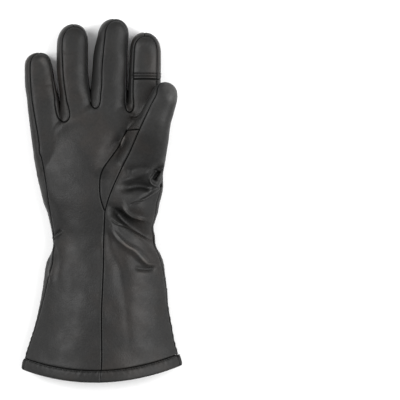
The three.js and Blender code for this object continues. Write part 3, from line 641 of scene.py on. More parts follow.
stroke_fade, stroke_end = 0.25, 0.25  # the part of a stroke that fades, and what its end keeps
measured, far_off = 12.0, 40.0        # mm up to which a distance is measured, and one beyond it
at_once = 6000                        # places in one step, which keeps the arrays small
upper_side = 12                       # only what shows from above gets finer triangles
folds_left, folds_middle, folds_half = 8, 155, 50     # the ground of the thumb's folds
thin, stroke_gap = 1.7, 3             # thin strokes get finer triangles within this gap
fold_edge, stroke_edge = 1.2, 0.7     # the longest edges left in the folds and at thin strokes
side_on, upwards = 0.1, 0.6           # a fold starts and is full where the skin turns this far up


def close_to(places, line):
    """Which places lie in a line's box or near it, some at a time."""
    low, high = line.min(0) - measured, line.max(0) + measured
    close = np.flatnonzero(((places > low) & (places < high)).all(1))
    return np.array_split(close, len(close) // at_once + 1)


def from_line(places, start, way):
    """For each place and each piece of a line, the nearest share of the piece and its distance."""
    p = places[:, None, :] - start
    t = np.clip((p * way).sum(2) / np.maximum((way**2).sum(1), 1e-9), 0, 1)
    return t, np.sqrt(((p - t[..., None] * way) ** 2).sum(2))


def near_stroke(places, line):
    """Distance of each place from a line, and where along the line its nearest point is."""
    gap, at = np.full(len(places), far_off), np.zeros(len(places))
    way = np.diff(line, axis=0)
    for part in close_to(places, line):
        t, away = from_line(places[part], line[:-1], way)
        row, first = np.arange(len(part)), away.argmin(1)
        gap[part] = away[row, first]
        at[part] = (first + t[row, first]) / len(way)
    return gap, at


def drawn(places):
    """How far the fine folds lift the leather; each stroke fades out at its ends."""
    lift = np.zeros(len(places))
    for wide, height, corners in strokes:
        gap, at = near_stroke(places, curve(corners, 6 * len(corners)))
        fade = smooth(0, stroke_fade, at) * smooth(1, 1 - stroke_fade, at)
        lift += height * lerp(stroke_end, 1, fade) * np.exp(-((gap / wide) ** 2))
    return lift


def unevenness(x, y):
    """Padding is never quite even: a slow swell of a few tenths of a millimetre."""
    return (0.16 * np.sin(x / 4.1 + 1.7 * np.sin(y / 13.0)) * np.sin(y / 6.3 + 0.8)
            + 0.22 * np.sin(x / 9.0 - y / 14.0 + 1.1) + 0.14 * np.sin(x / 6.1 + y / 5.2 + 2.3))


def by_the_folds(first, second, where):
    """The edges to halve: long ones in the thumb's folds, and shorter ones at a thin stroke."""
    middle = (points[first] + points[second]) / 2
    length = np.linalg.norm(points[first] - points[second], axis=1)
    gap = np.min([near_stroke(middle[:, :2], curve(corners, 12))[0]
                  for wide, _, corners in strokes if wide < thin], 0)
    in_folds = (middle[:, 0] > folds_left) & (np.abs(middle[:, 1] - folds_middle) < folds_half)
    wanted = (in_folds & (length > fold_edge)) | ((gap < stroke_gap) & (length > stroke_edge))
    return (middle[:, 2] > upper_side) & wanted, np.full(len(first), 0.5)


def pushed(points, faces, lift):
    """Points moved out of the skin by a lift, where the skin looks upwards."""
    out = outward(points, faces)
    return points + out * (lift * smooth(side_on, upwards, out[:, 2]))[:, None]


for halving in range(2):
    points, faces = split(points, faces, np.zeros(len(faces), int), None, by_the_folds)[:2]
points = eased(points, neighbours(faces), 2)
points = pushed(points, faces, drawn(points[:, :2]) + unevenness(points[:, 0], points[:, 1]))
inner_points = pushed(inner_points, inner_faces, drawn(inner_points[:, :2]))
inner_wall = BVHTree.FromPolygons(inner_points.tolist(), inner_faces.tolist())
print("fine folds:", len(strokes))

# %% [markdown]
# ## The pattern
# The cutter's pattern is a set of outlines seen from above. Each panel is the part of the skin
# inside its outline and above or below a height. The skin is cut along the exact outline, so that a
# seam is a clean curve and not a staircase of triangles.

# %% Seam curves seen from above
def side_seam(side, start, end, count=90):
    """The left (-1) or right (1) side seam from one distance to another."""
    y = np.linspace(start, end, count)
    return np.stack([edges(y)[2 if side < 0 else 3], y], 1)


thumb_line = curve([thumb_place(*place) for place in thumb_seam], 120)
gusset_foot = thumb_line[-1]
gusset_line = curve([thumb_place(*place) for place in gusset_seam] + [gusset_foot], 90)
middle_line = curve([gusset_foot] + [(x * mouth_width, lerp(gusset_foot[1], 0, at))
                                     for at, x in middle_seam], 70)
far = palm_right + thumb_length
past_mouth, past_tip = -20.0, 1.3
dimple_share, cross_seam_side = 0.42, -0.8
dimple_along = cuff_length + dimple_share * palm_length
thumb_outline = np.concatenate([
    [(far, thumb_line[0, 1])], thumb_line, middle_line[1:],
    [(middle_line[-1, 0], past_mouth), (mouth_width / 2, past_mouth)],
    side_seam(1, 0, dimple_along), [(far, dimple_along)]])
cross_seam_y = thumb_place(gusset_top, cross_seam_side)[1]
gusset_outline = np.concatenate([thumb_line[thumb_line[:, 1] < cross_seam_y],
                                 gusset_line[gusset_line[:, 1] < cross_seam_y][::-1]])
print("thumb outline:", len(thumb_outline), "places; cross seam at", round(float(cross_seam_y), 1))

# %% Palm, fingers and the ground between them
crotch_apex, crotch_share, crotch_lift, crotch_fall = 0.25, 0.35, 14, 7
front_reach, front_limit = 0.8, -0.7  # how far a finger's front runs back into the palm
front_end, arch_start = 0.05, 0.02    # where its straight part ends and its arch begins
web_start = 0.24          # where the open ground between two fronts begins
across = np.linspace(-1, 1, 41)
crotch_y = (knuckle_line + crotch_share * web_length + crotch_lift - crotch_fall * across**2
            - knuckle_bow * (across - crotch_apex) ** 2)
crotch_left, crotch_right = edges(crotch_y)[2:]
crotch_line = np.stack([lerp(crotch_left, crotch_right, (across + 1) / 2), crotch_y], 1)
palm_outline = np.concatenate([
    [(-mouth_width / 2, past_mouth), (mouth_width / 2, past_mouth)],
    side_seam(1, 0, crotch_line[-1, 1])[:-1], crotch_line[::-1],
    side_seam(-1, 0, crotch_line[0, 1])[:-1][::-1]])


def finger_front(finger):
    """Up one seam, over the tip in an arch, and down the other."""
    rows, dome = finger["rows"], finger["dome"]
    straight = np.linspace(max(-front_reach * root_reach(finger), front_limit),
                           dome - front_end, 40)
    up = finger_place(finger, straight, read(rows, "right", straight))
    down = finger_place(finger, straight, read(rows, "left", straight))[::-1]
    angle = np.linspace(0, math.pi, 40)
    at = lerp(dome - arch_start, finger["tip_seam"], np.abs(np.sin(angle)) ** (2 / tip_roundness))
    cosine = np.cos(angle)
    swing = np.sign(cosine) * np.abs(cosine) ** (2 / tip_roundness)
    right, left = (finger_place(finger, dome, read(rows, side, dome))[0]
                   for side in ("right", "left"))
    arch = np.stack([lerp(left, right, (1 + swing) / 2), knuckle_line + at * finger["length"]], 1)
    return np.concatenate([up, arch, down])


web_arches = {
    ("little", "ring"): [(-44.3, 262.0), (-42.8, 253.0), (-40.2, 247.4), (-36.0, 244.4),
                         (-32.0, 246.2), (-30.3, 251.0), (-31.4, 258.0), (-33.2, 264.0)],
    ("ring", "middle"): [(-11.8, 270.0), (-11.2, 264.5), (-9.3, 259.6), (-6.1, 257.2),
                         (-3.0, 259.2), (-1.6, 264.0), (-1.2, 270.0)],
    ("middle", "index"): [(21.6, 268.0), (21.9, 261.0), (23.6, 255.6), (26.4, 253.6),
                          (29.0, 255.4), (29.9, 260.5), (29.4, 268.0)],
}


def web_outline(one, other):
    """The open ground between two fingers' fronts: a finger's seam, round the web, and back up."""
    sides = []
    for name, column in ((one, "right"), (other, "left")):
        finger = fingers[name]
        at = np.linspace(web_start, past_tip, 40)
        sides.append(finger_place(finger, at, read(finger["rows"], column, at)))
    return np.concatenate([sides[0][::-1], curve(web_arches[one, other], 60), sides[1]])


def between(one, other):
    """The ground between two fingers' middle lines."""
    lines = [finger_place(finger, np.linspace(-root_reach(finger), past_tip, 30), 0)
             for finger in (fingers[one], fingers[other])]
    return np.concatenate([lines[0], lines[1][::-1]])


def beyond_touch_seam(start):
    """The ground beyond the index tip's cross seam, from a share of the finger's half width."""
    index = fingers["index"]
    low = knuckle_line + touch_seam * index["length"]
    high = knuckle_line + past_tip * index["length"]
    left = finger_place(index, touch_seam, start)[0]
    return np.array([(left, low), (far, low), (far, high), (left, high)])


under_start, under_floor = -0.12, -20.0
under_steps = np.concatenate([[under_start], np.linspace(0, past_tip, 60)])
under_line = np.stack([thumb_root[1] + under_steps * thumb_length * thumb_way[1],
                       thumb_middle_height(np.minimum(under_steps, 1.0))], 1)
under_thumb = np.concatenate([under_line, [(under_line[-1, 0], under_floor),
                                           (under_line[0, 0], under_floor)]])
print("palm outline:", len(palm_outline), "places")


# %% Distance of the skin's points from an outline
def from_outline(places, outline):
    """Distance in mm from a closed outline: less than 0 inside it."""
    result = np.full(len(places), far_off)
    start, end = outline, np.roll(outline, -1, axis=0)
    way = end - start
    rise = np.where(way[:, 1] == 0, 1e-9, way[:, 1])
    for part in close_to(places, outline):
        gap = from_line(places[part], start, way)[1].min(1)
        y = places[part][:, 1:2]
        spans = (start[:, 1] > y) != (end[:, 1] > y)
        crossing = start[:, 0] + (y - start[:, 1]) * way[:, 0] / rise
        inside = (spans & (places[part][:, 0:1] < crossing)).sum(1) % 2 == 1
        result[part] = np.where(inside, -gap, gap)
    return result


def joined(a, b, round_by):
    """The nearer of two outlines, with their inside corner rounded."""
    near_by = np.maximum(round_by - np.abs(a - b), 0) / np.maximum(round_by, 1e-6)
    return np.minimum(a, b) - near_by**2 * round_by / 4


def over(outline, height):
    """The skin inside an outline seen from above, and above a height."""
    return lambda points: np.maximum(from_outline(points[:, :2], outline), height - points[:, 2])


def thumb_surface(points):
    """Distance outside the thumb's own loft, in mm."""
    flat = points[:, :2] - thumb_root
    along = flat @ thumb_way / thumb_length
    share = tip_share(along, thumb_dome)
    half = read(thumb_rows, "wide", along) * thumb_width / 2 * share
    deep = read(thumb_rows, "deep", along) * thumb_depth / 2 * share
    side = np.abs(flat @ thumb_across / half) ** digit_fullness
    rise = np.abs((points[:, 2] - thumb_middle_height(along)) / deep) ** digit_fullness
    distance = ((side + rise) ** (1 / digit_fullness) - 1) * np.minimum(half, deep)
    return np.where(along < thumb_start, far_off, distance)


def along_hem(points):
    """Distance from the hem along the glove, with the hem's bow taken out."""
    x, y = points[:, 0], points[:, 1]
    along = y.copy()
    for _ in range(5):
        left, right = edges(along + bow(along, -1))[0], edges(along + bow(along, 1))[1]
        share = np.clip((x - (left + right) / 2) / ((right - left) / 2), -1.05, 1.05)
        along = y - bow(along, share)
    return along


root_rounding = 3.0       # the palm's seam turns into each finger with this radius
hem_overlap, beside_thumb = 0.2, 1.0
snap = 0.05               # points nearer to an outline than this count as on it


def palm_zone(points):
    """The palm's outline joined with the fingers' fronts, without the ground between them."""
    flat = points[:, :2]
    distance = from_outline(flat, palm_outline)
    for finger in fingers.values():
        distance = joined(distance, from_outline(flat, finger_front(finger)), root_rounding)
    for pair in finger_pairs:
        distance = np.maximum(distance, -from_outline(flat, web_outline(*pair)))
    return np.maximum(distance, side_height - points[:, 2])


def thumb_zone(points):
    """Inside the thumb's outline, but not beneath the thumb."""
    return np.maximum(over(thumb_outline, side_height)(points),
                      -from_outline(points[:, 1:], under_thumb))


def touch_zone(points):
    """The part of the palm panel's ground that lies beyond the index tip's cross seam."""
    return np.maximum(palm_zone(points), over(beyond_touch_seam(-1), side_height)(points))


zones = {
    "cuff_end": lambda points: along_hem(points) - hem_height - hem_overlap,
    "thumb_panel": thumb_zone,
    "thumb_gusset": over(gusset_outline, side_height),
    "thumb_back": lambda points: thumb_surface(points) - beside_thumb,
    "index_touch_tip": touch_zone,
    "palm_panel": palm_zone,
    **{f"fourchette_{one}_{other}": over(between(one, other), low_seam_height)
       for one, other in finger_pairs},
    "index_side_strip": over(beyond_touch_seam(0), low_seam_height),
}
print("zones, in the order of cutting:", ", ".join(zones))

# %% [markdown]
# ## Cutting the skin
# Where an outline crosses a triangle, the triangle is split at the crossing, so the cut follows the
# outline exactly. The panels are cut one after another, each from what the ones before it left.

# %% The largest part that hangs together
def largest_part(faces, chosen):
    """The largest group of chosen faces that hang together."""
    index = np.flatnonzero(chosen)
    part = faces[index]
    group = np.arange(part.max() + 1)
    while True:
        low = group[part].min(1)
        new = group.copy()
        np.minimum.at(new, part.ravel(), np.repeat(low, 3))
        new = new[new]
        if (new == group).all():
            break
        group = new
    names, sizes = np.unique(group[part[:, 0]], return_counts=True)
    kept = np.zeros(len(faces), bool)
    kept[index[group[part[:, 0]] == names[sizes.argmax()]]] = True
    return kept


def cut(points, faces, panel, zone, number):
    """Gives the uncut faces inside a zone their panel's number."""
    value = zone(points)
    value[np.abs(value) < snap] = 0

    def crossing(first, second, where):
        open_edge = np.zeros(len(first), bool)
        open_edge[where[panel == 0].ravel()] = True
        a, b = value[first], value[second]
        return open_edge & (a * b < 0), a / np.where(a == b, 1, a - b)

    points, faces, panel, value = split(points, faces, panel, value, crossing)
    inside = (panel == 0) & (value[faces].sum(1) < 0)
    panel[largest_part(faces, inside)] = number
    return points, faces, panel


def shared_sides(faces):
    """All sides of all faces, and which two of them lie on each other."""
    sides = np.sort(three_sides(faces), axis=1)
    keys = sides[:, 0] * (faces.max() + 1) + sides[:, 1]
    order = np.argsort(keys, kind="stable")
    same = keys[order][1:] == keys[order][:-1]
    return sides, order[:-1][same], order[1:][same]


def absorbed(faces, panel):
    """Gives the last uncut slivers to the panel beside them."""
    one, other = (side % len(faces) for side in shared_sides(faces)[1:])
    while (panel == 0).any():
        for a, b in ((one, other), (other, one)):
            taken = (panel[a] == 0) & (panel[b] > 0)
            panel[a[taken]] = panel[b[taken]]
    return panel


panel = np.zeros(len(faces), int)
numbers = {name: number for number, name in enumerate([*zones, "back_panel"], start=1)}
for name, zone in zones.items():
    points, faces, panel = cut(points, faces, panel, zone, numbers[name])
panel[largest_part(faces, panel == 0)] = numbers["back_panel"]
print("slivers left over:", (panel == 0).sum(), "triangles")
panel = absorbed(faces, panel)
print({name: int((panel == number).sum()) for name, number in numbers.items()})

# %% [markdown]
# ## Lines at the seams
# The leather turns in within a millimetre of its seam, so the triangles are split finer there, and
# the seam's own line is eased along its length before anything is sunk into it.

# %% Finer triangles and smooth lines at the seams
def seam_edges(faces, panel):
    """Edges between two panels, as pairs of points."""
    sides, one, other = shared_sides(faces)
    return sides[one[panel[one % len(faces)] != panel[other % len(faces)]]]


def distance_to(points, places):
    """Distance of each point from the nearest place, in mm."""
    tree = KDTree(len(places))
    for i, place in enumerate(places):
        tree.insert(place, i)
    tree.balance()
    return np.array([tree.find(point)[2] for point in points])


for reach, longest in ((3.6, 1.0), (1.2, 0.6)):     # nearer than reach, no edge is longer
    seams = np.unique(seam_edges(faces, panel))
    distance = distance_to(points, points[seams])

    def too_long(first, second, where):
        length = np.linalg.norm(points[first] - points[second], axis=1)
        close = np.minimum(distance[first], distance[second]) < reach
        return close & (length > longest), np.full(len(first), 0.5)

    points, faces, panel, _ = split(points, faces, panel, None, too_long)

seams = seam_edges(faces, panel)
joins = np.bincount(seams.ravel(), minlength=len(points))
free, on_seam = joins == 2, joins > 0               # seams' junctions stay where they are
pairs = neighbours(faces)
for _ in range(6):
    along_seam = eased(points, seams, 1, weight=0.5, back=0)
    points[free] = along_seam[free]
    moved = eased(points, pairs, 1, weight=0.5, back=0)
    out = outward(points, faces)
    step = moved - points
    step -= out * (step * out).sum(1, keepdims=True)
    points[~on_seam] += step[~on_seam]
print("refined skin:", len(points), "points,", len(faces), "triangles,", on_seam.sum(), "on seams")

# %% [markdown]
# ## Sewn panels
# A glove seam is sewn face to face and turned, so each panel rolls inwards over about 1.4 mm and
# stands a little proud beside the thread. Each panel is moved by that profile, gets its padded
# inner wall from the inner form, and is closed by a rim, so it is one solid as the real layered
# leather is. Solidify would fold over itself at the fingertips, where the wall is thick.

# %% The seam's profile
roll_radius = 1.4
pillow_height, pillow_reach = 0.4, 2.0
edge_on = 0.35            # how much of the roll is left where the seam passes over an outer edge
half_gap = 0.1            # each panel's rim is drawn back by this much
roll_from, roll_full = 0.15, 0.75     # how far up the skin looks where the roll starts and is full


def seam_profile(distance):
    """How far the leather rises or sinks at a distance from its seam."""
    near_by = np.clip(roll_radius - distance, 0, roll_radius)
    roll = np.sqrt(roll_radius**2 - near_by**2) - roll_radius
    pillow = pillow_height * distance / pillow_reach * np.exp(1 - distance / pillow_reach)
    return roll + pillow


def turned_to(direction):
    """How much of the seam's roll is left: less where the leather faces the side."""
    return lerp(edge_on, 1, smooth(roll_from, roll_full, np.abs(direction[:, 2])))


# standing: how far each point stands out of an eased copy of the skin. The leather paints a
# highlight on crests and shade in hollows from it.
calm = eased(points, pairs, 24, weight=0.6, back=0)
out = outward(points, faces)
standing = ((points - calm) * out).sum(1)
print("profile at 0, 0.5, 1.5 and 3 mm:", seam_profile(np.array([0, 0.5, 1.5, 3])).round(2))


# %% Closed panels
def mesh_piece(name, points, faces, attributes, outer, rim=0):
    """A mesh in metres: first its outer faces, then its flat rim, and the rest is lining."""
    mesh = bpy.data.meshes.new(name)
    mesh.from_pydata(((points + place) * mm).tolist(), [], faces.tolist())
    order = np.arange(len(faces))
    inner = order >= outer + rim
    mesh.polygons.foreach_set("use_smooth", (order < outer) | inner)
    mesh.polygons.foreach_set("material_index", inner.astype(np.int32))
    for label, values in attributes.items():
        attribute = mesh.attributes.new(label, "FLOAT", "POINT")
        attribute.data.foreach_set("value", values.astype(np.float32))
    return linked(name, mesh)


def panel_piece(name, number):
    """One panel: its skin with the seam's profile, a rim, and its padded inner wall."""
    chosen = faces[panel == number]
    used, local = np.unique(chosen, return_inverse=True)
    local = local.reshape(-1, 3)
    skin, direction = points[used].copy(), out[used]
    sides = three_sides(local)
    keys = np.sort(sides, axis=1) @ (len(used), 1)
    _, first, count = np.unique(keys, return_index=True, return_counts=True)
    rim = sides[first[count == 1]]
    border = np.unique(rim)
    distance = distance_to(skin, skin[border])
    inward = eased(skin, neighbours(local), 1, weight=1.0, back=0) - skin
    inward /= np.maximum(np.linalg.norm(inward, axis=1, keepdims=True), 1e-6)
    skin += direction * (seam_profile(distance) * turned_to(direction))[:, None]
    skin[border] += half_gap * inward[border]
    skin[:, 2] = np.maximum(skin[:, 2], 0)
    inside = np.array([inner_wall.find_nearest(point)[0] for point in skin])
    shift = len(used)
    walls = halves(np.stack([rim[:, 1], rim[:, 0], rim[:, 0] + shift, rim[:, 1] + shift], 1))
    near_seam = np.concatenate([np.minimum(distance, measured), np.full(shift, measured)])
    ridge = np.concatenate([standing[used], np.zeros(shift)])
    return mesh_piece(name + "_leather", np.concatenate([skin, inside]),
                      np.concatenate([local, walls, local[:, ::-1] + shift]),
                      {"seam_distance": near_seam, "standing": ridge}, len(local), len(walls))


# %% Rings of the hem: its section has the distance from the mouth, and how proud it stands
hem_section = curve([(9.0, -3.0), (10.9, -2.95), (11.1, -1.6), (11.0, -0.9), (10.6, -0.2),
                     (9.8, 0.2), (7.5, 0.6), (5.0, 0.7), (2.6, 0.7), (1.0, 0.45), (0.2, -0.1),
                     (-0.05, -1.0), (0.15, -2.1), (0.9, -2.8), (2.2, -3.0), (5.0, -3.0),
                     (9.0, -3.0)], 65)[:-1]
hem_sides = 560
hem_rings = np.array([body_ring(along, -proud, sides=hem_sides) for along, proud in hem_section])
hem_points = hem_rings.reshape(-1, 3)
ring, side = grid(len(hem_section), hem_sides)
after, beside = (ring + 1) % len(hem_section), (side + 1) % hem_sides
hem_faces = np.stack([ring * hem_sides + side, ring * hem_sides + beside,
                      after * hem_sides + beside, after * hem_sides + side], 1)
print("hem, mm:", np.ptp(hem_points, axis=0).round(1))

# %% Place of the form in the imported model's frame
cad_hem_low, cad_hem_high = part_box("cuff_hem")
hem_middle = (hem_points[:, 0].min() + hem_points[:, 0].max()) / 2
place = np.array([(cad_hem_low.x + cad_hem_high.x) / 2 / mm - hem_middle,
                  cad_hem_low.y / mm - hem_points[:, 1].min(), 0.0])
print("place in the frame, mm:", place.round(2))

pieces = {name: panel_piece(name, number) for name, number in numbers.items() if name != "cuff_end"}
for name, piece in pieces.items():
    print(f"{name}: {len(piece.data.polygons)} triangles")

# %% [markdown]
# ## The hem
# The cuff's edge is folded double and sewn down, so it stands a little proud as a rolled band. It
# is a closed section swept round the mouth, which keeps its height even. The cuff's middle and side
# seams run on through it, and the thread along its top pulls small puckers into it.

# %% Hem band with its seams and puckers
stitch_line = hem_height - 1.0
hem_roll, groove_depth, groove_width = 0.8, 0.3, 1.0
pucker_height, pucker_width = 0.16, 3.2
hem_outside = -1.5        # the section's part from here outwards shows


def hem_piece():
    points = hem_points.copy()
    x, y, z = points.T
    left, right, seam_left, seam_right = edges(y)
    gaps = np.stack([np.abs(x - middle_line[-1, 0]), np.abs(x - seam_left), np.abs(x - seam_right)])
    gaps[:, z < side_height] = measured
    seam = gaps.min(0)
    length = np.repeat(hem_section[:, 0], hem_sides)
    proud = np.repeat(hem_section[:, 1], hem_sides)
    outer = smooth(hem_outside, 0, proud)
    direction = outward(points, halves(hem_faces))
    step = np.linalg.norm(np.diff(hem_rings[0], axis=0, append=hem_rings[0][:1]), axis=1)
    run = np.tile(np.cumsum(step), len(hem_section))
    pucker = np.sin(run * 2 * math.pi / 5.4) + 0.6 * np.sin(run * 2 * math.pi / 8.9 + 1.3)
    at_row, near_row = (np.exp(-((length - stitch_line) / width) ** 2)
                        for width in (groove_width, pucker_width))
    roll = hem_roll * turned_to(direction) * seam_profile(np.minimum(seam, measured))
    lift = (roll - groove_depth * at_row + pucker_height * pucker * near_row) * outer
    points += direction * lift[:, None]
    points[:, 2] = np.maximum(points[:, 2], 0)
    # Painted shade: on the hem the dark seam band runs along its top seam and beside the cuff's
    # seams. Its lift, as standing, also drives the painted crest highlight and hollow shade.
    distance = np.minimum(0.55 * seam, 0.6 + 0.9 * np.abs(length - hem_height))
    return mesh_piece("cuff_hem_leather", points, hem_faces,
                      {"seam_distance": np.where(outer > 0.1, np.minimum(distance, measured),
                                                 measured),
                       "standing": lift}, len(hem_faces))


pieces["cuff_hem"] = hem_piece()
print("hem:", len(pieces["cuff_hem"].data.polygons), "faces")

# %% [markdown]
# ## Stitches
# Top-stitching shows in three places: round the hem, above the index tip's cross seam and above
# the thumb's. Each row is a line on the leather. Geometry Nodes set one short thread after another
# along it, because a stitch repeats at an even pitch and turns with its line.

# %% Lines for the stitches to follow
top_skin = np.concatenate([np.array([v.co for v in piece.data.vertices])
                           for piece in pieces.values()])
starts = np.cumsum([0] + [len(piece.data.vertices) for piece in pieces.values()])
top_faces = [[start + v for v in face.vertices]
             for start, piece in zip(starts, pieces.values()) for face in piece.data.polygons]
leather_surface = BVHTree.FromPolygons((top_skin / mm).tolist(), top_faces)


well_off, over_all = 60, 40.0
touch_offsets, thumb_offsets = (2.8, 5.3), (1.8, 4.0)  # of the two rows from their cross seam


def on_leather(places, towards):
    """Places in mm moved onto the leather along a direction."""
    towards = Vector(towards)
    hits = [leather_surface.ray_cast(Vector(p) - towards * well_off, towards) for p in places]
    return [hit for hit, _, _, _ in hits if hit is not None]


def from_above(flat):
    """Places of the form, seen from above, moved down onto the leather."""
    return on_leather([(x + place[0], y + place[1], over_all) for x, y in flat], (0, 0, -1))


def touch_rows():
    """Two rows above the index tip's cross seam, over the front and down the side."""
    index = fingers["index"]
    rows = []
    for back_off in touch_offsets:
        at = touch_seam + back_off / index["length"]
        left, right = (finger_place(index, at, read(index["rows"], side, at))
                       for side in ("left", "right"))
        rows.append(from_above(np.linspace(left + (1.3, 0), right - (1.0, 0), 24)))
        edge = finger_place(index, at, 1.0)
        heights = np.linspace(side_height + 6.0, low_seam_height + 1.2, 16)
        rows.append(on_leather([(*(edge + place[:2]), z) for z in heights], (-1, 0, 0)))
    return rows


def thumb_rows_above_seam():
    """Two rows above the thumb's cross seam."""
    rows = []
    for back_off in thumb_offsets:
        at = gusset_top + back_off / thumb_length
        rows.append(from_above([thumb_place(at, side) for side in np.linspace(-1.0, -0.66, 16)]))
    return rows


row_proud, row_floor = 0.25, 0.6      # the hem's row stands on the leather, clear of the floor
hem_row = [p for p in body_ring(stitch_line, -row_proud, sides=420) + place if p[2] > row_floor]
stitch_rows = touch_rows() + thumb_rows_above_seam() + [hem_row]
print("stitch rows:", [len(row) for row in stitch_rows])


# %% Thread along a row, with Geometry Nodes
def stitch_nodes():
    """Short threads set along a line at an even pitch."""
    tree = bpy.data.node_groups.new("stitch row", "GeometryNodeTree")
    tree.interface.new_socket("Line", in_out="INPUT", socket_type="NodeSocketGeometry")
    for name, value in (("Pitch", 2.6), ("Length", 1.7), ("Thickness", 0.85)):
        socket = tree.interface.new_socket(name, in_out="INPUT", socket_type="NodeSocketFloat")
        socket.default_value = value * mm
    tree.interface.new_socket("Thread", in_out="INPUT", socket_type="NodeSocketMaterial")
    tree.interface.new_socket("Stitches", in_out="OUTPUT", socket_type="NodeSocketGeometry")
    nodes = {name: tree.nodes.new(kind) for name, kind in (
        ("given", "NodeGroupInput"), ("spaced", "GeometryNodeResampleCurve"),
        ("tangent", "GeometryNodeInputTangent"), ("turn", "FunctionNodeAlignRotationToVector"),
        ("size", "ShaderNodeCombineXYZ"), ("thread", "GeometryNodeMeshUVSphere"),
        ("set", "GeometryNodeInstanceOnPoints"), ("real", "GeometryNodeRealizeInstances"),
        ("finish", "GeometryNodeSetMaterial"), ("result", "NodeGroupOutput"))}
    nodes["spaced"].mode, nodes["turn"].axis = "LENGTH", "Z"
    for name, value in (("Segments", 8), ("Rings", 6), ("Radius", 0.5)):
        nodes["thread"].inputs[name].default_value = value
    for source, output, target, socket in (
            ("given", "Line", "spaced", "Curve"), ("given", "Pitch", "spaced", "Length"),
            ("tangent", "Tangent", "turn", "Vector"), ("given", "Thickness", "size", "X"),
            ("given", "Thickness", "size", "Y"), ("given", "Length", "size", "Z"),
            ("spaced", "Curve", "set", "Points"), ("thread", "Mesh", "set", "Instance"),
            ("turn", "Rotation", "set", "Rotation"), ("size", "Vector", "set", "Scale"),
            ("set", "Instances", "real", "Geometry"), ("real", "Geometry", "finish", "Geometry"),
            ("given", "Thread", "finish", "Material"),
            ("finish", "Geometry", "result", "Stitches")):
        tree.links.new(nodes[source].outputs[output], nodes[target].inputs[socket])
    return tree


def line_object(rows):
    """Rows of places in mm as one object of lines."""
    data = bpy.data.curves.new("stitch lines", "CURVE")
    data.dimensions = "3D"
    for row in rows:
        spline = data.splines.new("POLY")
        spline.points.add(len(row) - 1)
        for point, at in zip(spline.points, row):
            point.co = (*(Vector(at) * mm), 1)
    return linked("stitch lines", data)


# %% [markdown]
# ## Finishes
# Drum-dyed leather is nearly black with a slight warm cloudiness, a satin sheen and a fine pebbled
# grain. On it a highlight is painted on the crests, and shade is painted into the hollows and along
# the seams. All of that comes from noise in the piece's own space and from two numbers that each
# panel carries: how far the seam is, and how much a place stands out.

# %% A small helper for shader nodes
class Finish:
    """A material whose nodes are added by type, with their inputs by name."""

    def __init__(self, name):
        self.material = bpy.data.materials.new(name)
        self.material.use_nodes = True
        self.tree = self.material.node_tree
        self.surface = self.tree.nodes["Principled BSDF"]
        self.where = self.tree.nodes.new("ShaderNodeTexCoord").outputs["Object"]

    def add(self, kind, inputs=(), **settings):
        node = self.tree.nodes.new("ShaderNode" + kind)
        for key, value in settings.items():
            setattr(node, key, value)
        for key, value in dict(inputs).items():
            self.put(node.inputs[key], value)
        return node

    def put(self, socket, value):
        if isinstance(value, bpy.types.NodeSocket):
            self.tree.links.new(value, socket)
        else:
            socket.default_value = value

    def noise(self, scale, detail=3.0, roughness=0.5):
        inputs = {"Vector": self.where, "Scale": scale, "Detail": detail, "Roughness": roughness}
        return self.add("TexNoise", inputs).outputs["Fac"]

    def number(self, name):
        return self.add("Attribute", attribute_name=name).outputs["Fac"]

    def spread(self, value, low, high, start, end):
        inputs = {"Value": value, "From Min": low, "From Max": high, "To Min": start, "To Max": end}
        return self.add("MapRange", inputs, interpolation_type="SMOOTHSTEP").outputs["Result"]

    def mixed(self, share, a, b):
        node = self.add("Mix", {"Factor": share}, data_type="RGBA")
        self.put(node.inputs[6], a)
        self.put(node.inputs[7], b)
        return node.outputs[2]

    def scaled(self, colour, amount):
        node = self.add("VectorMath", {0: colour, "Scale": amount}, operation="SCALE")
        return node.outputs["Vector"]

    def times(self, a, b):
        return self.add("Math", {0: a, 1: b}, operation="MULTIPLY").outputs["Value"]

    def bump(self, height, strength, distance, normal=None):
        inputs = {"Height": height, "Strength": strength, "Distance": distance}
        if normal is not None:
            inputs["Normal"] = normal
        return self.add("Bump", inputs).outputs["Normal"]


# %% Leather, lining and thread
# painted_seam_shade is the near-black painted into each seam's groove, where shade falls.
painted_seam_shade, leather_shine, cloth_shine = 0.004, 0.22, 0.2


def grey(tone):
    return tone, tone, tone, 1


